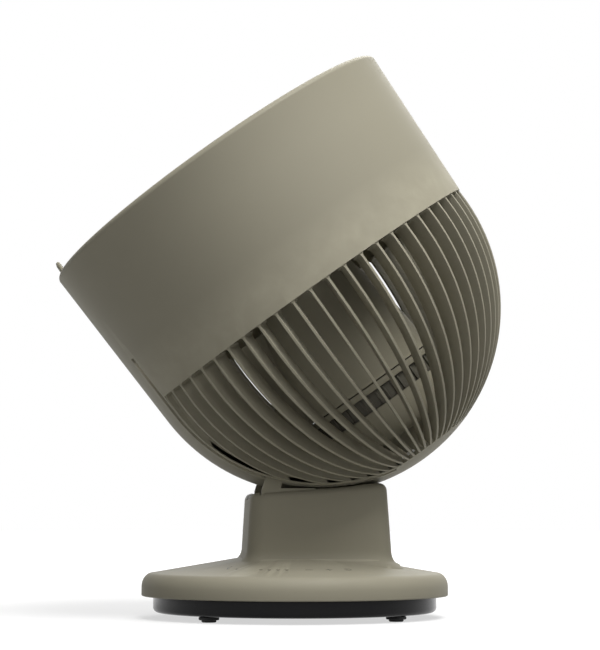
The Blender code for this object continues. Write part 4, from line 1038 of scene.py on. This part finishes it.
@dataclass
class FrontGrille:
    """Rim ring, swirled vanes, hub and release tab of the front grille, and its plain centre cap."""

    place: Matrix
    radius: float = 0.1199
    rim: float = 0.0045
    low: float = 0.0928
    high: float = 0.1048
    vane_count: int = 28
    vane_thick: float = 0.0014
    vane_deep: float = 0.0060
    sweep: float = math.radians(46.0)
    dome: float = 0.0060
    hub_radius: float = 0.0300
    tab_half: float = 0.0080
    tab_end: float = 0.1177
    tab_thick: float = 0.0025

    @property
    def plane(self) -> float:
        """Height of the vanes' rear edges at the rim."""
        return (self.low + self.high - self.vane_deep) / 2

    def build_vane(self) -> bpy.types.Object:
        """One vane that curves from the hub to the rim and falls with the dome."""
        start, end = self.hub_radius - 0.0010, self.radius - self.rim + 0.0010
        points = []
        for k in range(25):
            part = k / 24
            radius = start + (end - start) * part
            turn = self.sweep * part
            rise = self.plane + self.dome * (1 - part * part)
            points.append((radius * math.cos(turn), radius * math.sin(turn), rise))
        vane = drawn_line("vane", points)
        edit(vane)
        bpy.ops.mesh.extrude_region_move(TRANSFORM_OT_translate={"value": (0.0, 0.0, self.vane_deep)})
        leave()
        applied(vane, "SOLIDIFY", thickness=self.vane_thick, offset=0.0)
        return rounded(settle(vane), 0.00045, 2, 50.0)

    def build(self) -> None:
        """Make the grille and its cap."""
        inner = self.radius - self.rim
        ring = turned("grille", [(self.radius, self.high - 0.0008), (self.radius, self.low), (inner, self.low),
                                 (inner, self.high - 0.0008), (inner + 0.0008, self.high),
                                 (self.radius - 0.0008, self.high)], 192)
        hub_low = self.plane + self.dome
        hub = turned("grille_hub", [(0.0, hub_low), (self.hub_radius - 0.0008, hub_low),
                                    (self.hub_radius, hub_low + 0.0006), (self.hub_radius, hub_low + 0.0019),
                                    (self.hub_radius - 0.0006, hub_low + 0.0025), (0.0, hub_low + 0.0025)], 96)
        vane = self.build_vane()
        vanes = [copied(vane, Matrix.Rotation(2 * math.pi * k / self.vane_count, 4, "Z"))
                 for k in range(self.vane_count)]
        bpy.data.objects.remove(vane, do_unlink=True)
        foot = -0.1196
        tab = block("tab", (-self.tab_half, foot, self.high - 0.0080),
                    (self.tab_half, foot + self.tab_thick, self.tab_end), 0.0009, 3)
        ridges = [block("ridge", (-self.tab_half + 0.002, foot + self.tab_thick - 0.0004, self.tab_end - drop - 0.0006),
                        (self.tab_half - 0.002, foot + self.tab_thick + 0.0004, self.tab_end - drop), 0.0003, 2)
                  for drop in (0.0020, 0.0035, 0.0050)]
        grille = moved(joined("grille", [ring, hub, tab, *ridges, *vanes]), self.place)
        place_piece(smoothed(grille, 40.0), Body.HEAD, Finish.TAUPE, ["front_grille"])
        seat = hub_low + 0.0028
        dome = [(0.0285 * k / 10, seat + 0.0030 - 0.0009 * (k / 10) ** 2) for k in range(10)]
        cap = turned("grille_centre", dome + [(0.0276, seat + 0.0021), (0.0283, seat + 0.0016), (0.0285, seat + 0.0010),
                                              (0.0285, seat), (0.0, seat)], 96)
        groove = turned("cap_groove", [(0.0236, seat + 0.0040), (0.0236, seat + 0.0020), (0.0242, seat + 0.0020),
                                       (0.0242, seat + 0.0040)], 96)
        carved(cap, groove)
        place_piece(smoothed(moved(cap, self.place)), Body.HEAD, Finish.TAUPE, ["grille_cap"])


@dataclass
class Fan:
    """Hub with seven swept blades, and the nut in front of it."""

    place: Matrix
    count: int = 7
    hub_radius: float = 0.0330
    tip: float = 0.1120
    middle: float = 0.0580
    deep: float = 0.0320
    deep_tip: float = 0.0240
    wide: float = math.radians(42.0)
    lean: float = math.radians(14.0)
    thick: float = 0.0018
    low: float = 0.0380
    high: float = 0.0780

    def build_blade(self) -> bpy.types.Object:
        """One blade, drawn out ring by ring from its root."""
        root = self.hub_radius - 0.0010
        chord = []
        for k in range(15):
            part = k / 14
            turn = self.wide * (part - 0.5)
            rise = self.deep * (part - 0.5) + 0.12 * self.deep * math.cos(math.pi * (part - 0.5))
            chord.append((root * math.cos(turn), root * math.sin(turn), self.middle + rise))
        blade = drawn_line("blade", chord)
        edit(blade)
        parts = [k / 14 for k in range(15)]
        radii = [root + (self.tip - 0.0006 - root) * u for u in parts]
        deeps = [self.deep + (self.deep_tip - self.deep) * u for u in parts]
        for k in range(1, 15):
            step = self.lean * (parts[k] ** 2 - parts[k - 1] ** 2)
            bpy.ops.mesh.spin(steps=1, angle=-step, center=(0.0, 0.0, 0.0), axis=(0.0, 0.0, 1.0))
            grow = radii[k] / radii[k - 1]
            bpy.ops.transform.resize(value=(grow, grow, deeps[k] / deeps[k - 1]),
                                     center_override=(0.0, 0.0, self.middle))
        leave()
        applied(blade, "SOLIDIFY", thickness=self.thick, offset=0.0)
        return rounded(settle(blade), 0.0006, 2, 50.0)

    def build(self) -> None:
        """Make the fan and its nut."""
        bore = 0.0033
        rim = self.hub_radius
        outline = [(bore, self.high)] + arc_points((rim - 0.0060, self.high - 0.0060), 0.0060, 90, 0, 10)
        outline += [(rim, self.low), (rim - 0.0025, self.low), (rim - 0.0025, self.high - 0.0060),
                    (rim - 0.0075, self.high - 0.0025), (0.0075, self.high - 0.0025), (0.0075, self.low + 0.0075),
                    (bore, self.low + 0.0075)]
        hub = turned("fan", outline, 96)
        blade = self.build_blade()
        blades = [copied(blade, Matrix.Rotation(2 * math.pi * k / self.count, 4, "Z")) for k in range(self.count)]
        bpy.data.objects.remove(blade, do_unlink=True)
        fan = moved(joined("fan_wheel", [hub, *blades]), self.place)
        place_piece(smoothed(fan), Body.FAN, Finish.VENT, ["fan_blades"])
        low = self.high + 0.0003
        nut = turned("fan_cone", [(0.0, low + 0.0085), (0.0050, low + 0.0084), (0.0078, low + 0.0074),
                                  (0.0096, low + 0.0050), (0.0106, low + 0.0022), (0.0110, low), (bore, low),
                                  (bore, 0.0843), (0.0, 0.0843)], 64)
        place_piece(smoothed(moved(nut, self.place)), Body.FAN, Finish.DARK, ["fan_nut"])


class Mark(Enum):
    """Plain icons printed on the base top."""

    SWING = "swing"
    LESS = "less"
    MORE = "more"
    POWER = "power"


@dataclass
class BaseTop:
    """Crowned base top with its neck, dish, lamp holes and printed icons, on the swing axis."""

    swing: Matrix
    pivot: Vector
    peak: float = 0.0400
    crown_radius: float = 0.0380
    crown: float = 0.0371
    shoulder_radius: float = 0.0900
    shoulder: float = 0.0282
    skirt_radius: float = 0.0968
    skirt_break: float = 0.0195
    skirt_bottom: float = 0.0138
    wall: float = 0.0028
    neck_half: float = 0.0370
    neck_reach: float = 0.0450
    neck_corner: float = 0.0130
    neck_top: float = 0.0790
    neck_slope: float = 0.0725
    neck_draft: tuple[float, float, float] = (-0.0026, -0.0030, -0.0008)
    neck_round: float = 0.0050
    neck_low: float = 0.0330
    roof: float = 0.0070
    back: float = 0.0129
    ball: float = 0.1190
    room: float = 0.0018
    control_ring: float = 0.0700
    lamp_turns: tuple[float, ...] = (-21.95, -17.65, -13.35, -9.05)
    lamp_radius: float = 0.0012
    marks: tuple[tuple[Mark, float], ...] = ((Mark.SWING, -38.0), (Mark.LESS, 2.0), (Mark.MORE, 12.0),
                                             (Mark.POWER, 22.0))

    def crown_outline(self, inset: float) -> list[tuple[float, float]]:
        """The base top's outline from its peak to its skirt, moved inwards."""
        line = [(0.0, self.peak - inset), (0.018, self.peak - inset - 0.0006), (self.crown_radius, self.crown - inset)]
        reach = self.skirt_radius - self.shoulder_radius
        for k in range(13):
            turn = math.pi / 2 * k / 12
            line.append((self.shoulder_radius - inset + reach * math.sin(turn),
                         self.skirt_break + (self.shoulder - inset - self.skirt_break) * math.cos(turn)))
        return line

    def height(self, radius: float) -> float:
        """Height of the sloping top at a radius from the swing axis."""
        slope = (self.shoulder - self.crown) / (self.shoulder_radius - self.crown_radius)
        return self.crown + slope * (radius - self.crown_radius)

    def upright_rounded(self, piece: bpy.types.Object, radius: float) -> bpy.types.Object:
        """Round a block's four upright edges."""
        ends = piece.data.vertices
        choose(piece, "EDGE", lambda edge: abs(ends[edge.vertices[0]].co.z - ends[edge.vertices[1]].co.z) > 1e-6)
        bpy.ops.mesh.bevel(offset=radius, segments=10, affect="EDGES")
        leave()
        return piece

    def build_neck(self) -> bpy.types.Object:
        """The neck: a rounded block drawn up from a flared foot, with a sloping, rounded top."""
        half, reach = self.neck_half, self.neck_reach
        levels = [(self.neck_low - 0.0035, 0.0130, 0.0085, 0.0085)]
        for k in range(13):
            rise = k / 12
            flare = 1 - math.sqrt(max(0.0, 1 - (1 - rise) ** 2))
            levels.append((self.neck_low + 0.0012 + 0.0093 * rise, 0.0090 * flare, 0.0045 * flare, 0.0045 * flare))
        levels.append((self.neck_top + 0.0080, *self.neck_draft))
        front, rear, side = levels[0][1:]
        neck = block("neck", (-half - side, self.back - reach - front, levels[0][0] - 0.001),
                     (half + side, self.back + reach + rear, levels[0][0]))
        self.upright_rounded(neck, self.neck_corner)
        choose(neck, "FACE", lambda face: face.normal.z > 0.9)
        before = levels[0]
        for level in levels[1:]:
            bpy.ops.mesh.extrude_region_move(TRANSFORM_OT_translate={"value": (0.0, 0.0, level[0] - before[0])})
            sizes = [(half + lv[3], 2 * reach + lv[1] + lv[2]) for lv in (before, level)]
            drift = (level[2] - level[1] - before[2] + before[1]) / 2
            centre = (0.0, self.back + (before[2] - before[1]) / 2, level[0])
            bpy.ops.transform.resize(value=(sizes[1][0] / sizes[0][0], sizes[1][1] / sizes[0][1], 1.0),
                                     center_override=centre)
            bpy.ops.transform.translate(value=(0.0, drift, 0.0))
            before = level
        leave()
        slope = Vector((0.0, -self.neck_slope, 1.0)).normalized()
        cut_flat(neck, (0.0, self.back - 0.0350, self.neck_top), slope)
        settle(neck)
        middle = (self.neck_low + self.neck_top) / 2
        tops = {face.index for face in neck.data.polygons
                if face.normal.dot(slope) > 0.99 and face.center.z > middle}
        rim = {key for index in tops for key in neck.data.polygons[index].edge_keys}
        choose(neck, "EDGE", lambda edge: edge.key in rim)
        bpy.ops.mesh.bevel(offset=self.neck_round, segments=8, affect="EDGES")
        leave()
        return neck

    def dish_tool(self) -> bpy.types.Object:
        """The head's outline with room around it, lying level."""
        rim = self.ball + self.room
        start = math.pi / 2
        points = [(0.0, 0.1105), (rim + 0.0047, 0.1105)]
        points += [(rim * math.sin(start + start * k / 48), rim * math.cos(start + start * k / 48)) for k in range(48)]
        points.append((0.0, -rim))
        tool = turned("dish", points, 192)
        level = Matrix.Translation((0.0, self.back, self.pivot.z)) @ Matrix.Rotation(math.pi / 2, 4, "X")
        return moved(tool, level)

    def build_housing(self) -> bpy.types.Object:
        """Crown and neck as one hollow moulding, open below."""
        lines = self.crown_outline(0.0)
        housing = turned("base_top", lines + [(self.skirt_radius, self.skirt_bottom + 0.0005),
                                              (self.skirt_radius - 0.0005, self.skirt_bottom),
                                              (0.0, self.skirt_bottom)], 192)
        carved(housing, self.build_neck(), "UNION")
        inner = self.skirt_radius - self.wall
        hollow = turned("hollow", self.crown_outline(self.wall) + [(inner, 0.0), (0.0, 0.0)], 96)
        carved(housing, hollow)
        half = self.neck_half - 0.0030
        room = block("neck_hollow", (-half, self.back - self.neck_reach + 0.003, 0.0215),
                     (half, self.back + self.neck_reach - 0.003, self.neck_top - self.roof))
        carved(housing, self.upright_rounded(room, self.neck_corner - 0.0030))
        carved(housing, self.dish_tool())
        low, high = self.back - self.neck_reach * 0.84, self.back - 0.0025
        for side in (-1, 1):
            across = sorted((side * 0.0303, side * 0.0347))
            carved(housing, block("shoe_hole", (across[0], low, 0.065), (across[1], high, 0.086)))
        for turn in self.lamp_turns:
            spot = Matrix.Rotation(math.radians(turn), 4, "Z") @ Vector((self.control_ring, 0.0, 0.0))
            hole = turned("lamp_hole", [(0.0, 0.0215), (self.lamp_radius, 0.0215), (self.lamp_radius, 0.040),
                                        (0.0, 0.040)], 24)
            carved(housing, moved(hole, Matrix.Translation(spot)))
        return moved(settle(housing, 2e-5), self.swing)

    def mark_pieces(self, mark: Mark) -> list[bpy.types.Object]:
        """The strokes of one icon, lying flat at the origin.

        Args:
            mark: which icon.
        """
        thin, long = 0.00032, 0.0022
        high = 0.00006
        if mark in (Mark.LESS, Mark.MORE):
            strokes = [block("stroke", (-thin, -long, -high), (thin, long, high))]
            if mark is Mark.MORE:
                strokes += [block("stroke", (-long, -thin, -high), (-thin, thin, high)),
                            block("stroke", (thin, -thin, -high), (long, thin, high))]
            return strokes
        radius = 0.0022 if mark is Mark.POWER else 0.0060
        reach = math.radians(145.0 if mark is Mark.POWER else 38.0)
        arc = drawn_line("stroke", [(radius - thin, 0.0, -high), (radius + thin, 0.0, -high),
                                    (radius + thin, 0.0, high), (radius - thin, 0.0, high)], close=True)
        moved(arc, Matrix.Rotation(-reach, 4, "Z"))
        edit(arc, "FACE")
        bpy.ops.mesh.spin(steps=24, angle=2 * reach, center=(0.0, 0.0, 0.0), axis=(0.0, 0.0, 1.0))
        leave()
        settle(arc)
        if mark is Mark.POWER:
            return [arc, block("stroke", (-0.0026, -thin, -high), (-0.0006, thin, high))]
        moved(arc, Matrix.Translation((-radius, 0.0, 0.0)))
        heads = []
        for side in (-1, 1):
            tip = (radius * math.cos(reach) - radius, side * radius * math.sin(reach), 0.0)
            for lean in (35.0, -35.0):
                stroke = block("stroke", (-thin, 0.0, -high), (thin, 0.0016, high))
                turn = Matrix.Rotation((math.pi if side > 0 else 0.0) + side * reach + math.radians(lean), 4, "Z")
                heads.append(moved(stroke, Matrix.Translation(tip) @ turn))
        return [arc, *heads]

    def build_marks(self) -> bpy.types.Object:
        """Every icon on the sloping top."""
        slope = math.atan2(self.crown - self.shoulder, self.shoulder_radius - self.crown_radius)
        strokes = []
        for mark, turn in self.marks:
            lie = Matrix.Rotation(math.radians(turn), 4, "Z")
            lie = lie @ Matrix.Translation((self.control_ring, 0.0, self.height(self.control_ring)))
            lie = lie @ Matrix.Rotation(slope, 4, "Y")
            strokes += [moved(stroke, lie) for stroke in self.mark_pieces(mark)]
        return moved(joined("base_marks", strokes), self.swing)

    def build(self) -> None:
        """Make the base top and its print."""
        housing = smoothed(rounded(self.build_housing(), 0.0004, 2, 40.0))
        place_piece(housing, Body.TURRET, Finish.TAUPE, ["base_housing"])
        place_piece(self.build_marks(), Body.TURRET, Finish.MARK)


@dataclass
class TiltShoes:
    """The two shoes whose hooks pass up into the head."""

    place: Matrix
    front: float = -0.0369
    ledge_back: float = -0.0030
    low: float = -0.1263
    ledge: float = -0.1157
    back_turn: float = math.radians(12.0)
    front_turn: float = math.radians(17.3)
    inner: float = 0.10393
    outer: float = 0.10713
    spans: tuple[tuple[float, float], ...] = ((0.0307, 0.0343), (0.0245, 0.0341))

    def build_shoe(self, side: int) -> bpy.types.Object:
        """One shoe: its leg, its hook and the flange under the neck's roof.

        Args:
            side: -1 for the left shoe, 1 for the right one.
        """
        turns = [self.back_turn + (self.front_turn - self.back_turn) * k / 6 for k in range(7)]
        front = self.front + 0.0005
        leg = [(self.ledge_back, self.low), (self.ledge_back, self.ledge),
               (self.ledge * math.tan(self.back_turn), self.ledge)]
        leg += [(-self.inner * math.sin(t), -self.inner * math.cos(t)) for t in turns]
        leg += [(front, front / math.tan(self.front_turn)), (front, self.low)]
        thin = tuple(sorted(side * x for x in self.spans[0]))
        wide = tuple(sorted(side * x for x in self.spans[1]))
        shoe = plate("shoe", leg, thin)
        turns = [math.radians(2.5) + (self.front_turn - 0.0002 / self.outer - math.radians(2.5)) * k / 12
                 for k in range(13)]
        bar = [(-(self.inner + 0.0002) * math.sin(t), -(self.inner + 0.0002) * math.cos(t)) for t in turns]
        bar += [(-self.outer * math.sin(t), -self.outer * math.cos(t)) for t in turns[::-1]]
        carved(shoe, plate("hook", bar, wide), "UNION")
        flange = block("flange", (wide[0], self.front + 0.0010, self.low - 0.0002),
                       (wide[1], self.ledge_back - 0.0005, self.low + 0.0014))
        carved(shoe, flange, "UNION")
        return rounded(settle(shoe), 0.0004, 2, 40.0)

    def build(self) -> None:
        """Make both shoes."""
        for side, name in ((-1, "left"), (1, "right")):
            shoe = smoothed(moved(self.build_shoe(side), self.place))
            place_piece(shoe, Body.TURRET, Finish.TAUPE, [f"tilt_shoe_{name}"])


@dataclass
class LowerBase:
    """Glossy lower base, its feet and its power inlet."""

    swing: Matrix
    radius: float = 0.0894
    bottom: float = 0.0035
    top: float = 0.0156
    floor: float = 0.0060
    wall: float = 0.0024
    round: float = 0.0032
    feet_ring: float = 0.0803
    foot_radius: float = 0.0062
    nose_radius: float = 0.0045
    step: float = 0.0014

    def build_shell(self) -> bpy.types.Object:
        """The dish of the lower base with its pillar, foot holes and inlet hole."""
        inner = self.radius - self.wall
        line = [(0.0, self.bottom), (0.0600, self.bottom), (0.0602, self.bottom + 0.0006),
                (0.0612, self.bottom + 0.0006), (0.0614, self.bottom)]
        line += arc_points((self.radius - self.round, self.bottom + self.round), self.round, -90, 0, 10)
        line += arc_points((self.radius - 0.0007, self.top - 0.0007), 0.0007, 0, 90, 4)
        line += [(inner, self.top), (inner, self.floor), (0.0240, self.floor), (0.0240, 0.0120), (0.0180, 0.0120),
                 (0.0180, 0.0096), (0.0210, 0.0096), (0.0210, self.floor), (0.0, self.floor)]
        base = turned("lower_shell", line, 192)
        for k in range(4):
            hole = turned("foot_hole", [(0.0, 0.0), (0.0033, 0.0), (0.0033, 0.0070), (0.0, 0.0070)], 32)
            carved(base, moved(hole, self.foot_place(k)))
        back = self.radius - self.wall / 4
        carved(base, block("inlet_hole", (-0.0058, back - 0.0090, self.floor), (0.0058, self.radius + 0.001, 0.0143)))
        return base

    def foot_place(self, k: int) -> Matrix:
        """Where one foot stands on the swing axis's frame."""
        return Matrix.Rotation(math.pi / 2 * (k + 0.5), 4, "Z") @ Matrix.Translation((self.feet_ring, 0.0, 0.0))

    def build_feet(self) -> None:
        """Four two-step rubber feet."""
        brim = self.bottom - 0.0003
        line = [(0.0, 0.0), (self.nose_radius - 0.0006, 0.0), (self.nose_radius - 0.0002, 0.0002),
                (self.nose_radius, 0.0006), (self.nose_radius, self.step), (self.foot_radius - 0.0004, self.step),
                (self.foot_radius, self.step + 0.0004), (self.foot_radius, brim - 0.0003),
                (self.foot_radius - 0.0003, brim), (0.0030, brim), (0.0030, 0.0050), (0.0026, 0.0054), (0.0, 0.0054)]
        foot = turned("foot", line, 64)
        for k in range(4):
            twin = copied(foot, self.swing @ self.foot_place(k))
            twin.name = f"foot_{k + 1}"
            place_piece(smoothed(twin), Body.BASE, Finish.RUBBER, [f"rubber_foot_{k + 1}"])
        bpy.data.objects.remove(foot, do_unlink=True)

    def build_inlet(self) -> None:
        """The round low-voltage inlet in its block."""
        back = self.radius - self.wall / 4
        middle = (0.0063 + 0.0140) / 2
        body = block("inlet", (-0.0055, back - 0.0090, 0.0063), (0.0055, back, 0.0140), 0.0005, 3)
        bore = turned("inlet_bore", [(0.0030, 0.0010), (0.0030, -0.0070), (0.0010, -0.0070), (0.0010, -0.0010),
                                     (0.0006, -0.0006), (0.0, -0.0006), (0.0, 0.0010)], 48)
        carved(body, moved(bore, Matrix.Translation((0.0, back, middle)) @ Matrix.Rotation(-math.pi / 2, 4, "X")))
        place_piece(smoothed(moved(body, self.swing)), Body.BASE, Finish.DARK, ["power_inlet"])

    def build(self) -> None:
        """Make the lower base with its feet and inlet."""
        shell = smoothed(moved(rounded(self.build_shell(), 0.0002, 2, 60.0), self.swing))
        place_piece(shell, Body.BASE, Finish.BLACK, ["lower_base"])
        self.build_feet()
        self.build_inlet()


@dataclass(frozen=True)
class InnerPieces:
    """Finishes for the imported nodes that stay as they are."""

    # Taupe pieces inside the head take the darker copy of the taupe, a painted shade.
    finishes: dict[str, Finish] = field(default_factory=lambda: {
        "taupe_plastic": Finish.TAUPE_INNER, "black_gloss": Finish.BLACK, "dark_plastic": Finish.DARK,
        "white_plastic": Finish.SLIDE, "steel": Finish.STEEL, "magnet": Finish.MAGNET, "copper": Finish.COPPER,
        "rubber": Finish.RUBBER, "felt": Finish.FELT, "board": Finish.BOARD, "lens": Finish.LENS})

    def build(self, frame: dict) -> None:
        """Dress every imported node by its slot.

        Args:
            frame: the loaded frame.
        """
        for name, node in frame["nodes"].items():
            finish = self.finishes[node.material_slots[0].material.name].material
            for row in node.material_slots:
                row.material = finish
            LOG.info("%s keeps its packed form in %s", name, finish.name)


def main() -> None:
    """Build the looks piece by piece."""
    logging.basicConfig(level=logging.INFO, format="%(message)s")
    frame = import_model()
    Grain.build()
    pivot = Vector((0.0, 0.0233811, 0.1965))
    swing = Matrix.Translation((0.0, 0.0104811, 0.0))
    head = Matrix.Translation(pivot) @ Matrix.Rotation(math.radians(35.6), 4, "X")
    InnerPieces().build(frame)
    HeadShell(head, pivot).build()
    MotorPod(head).build()
    FrontGrille(head).build()
    Fan(head).build()
    BaseTop(swing, pivot).build()
    TiltShoes(Matrix.Translation(pivot)).build()
    LowerBase(swing).build()
    Studio().build(pivot)


if __name__ == "__main__":
    main()
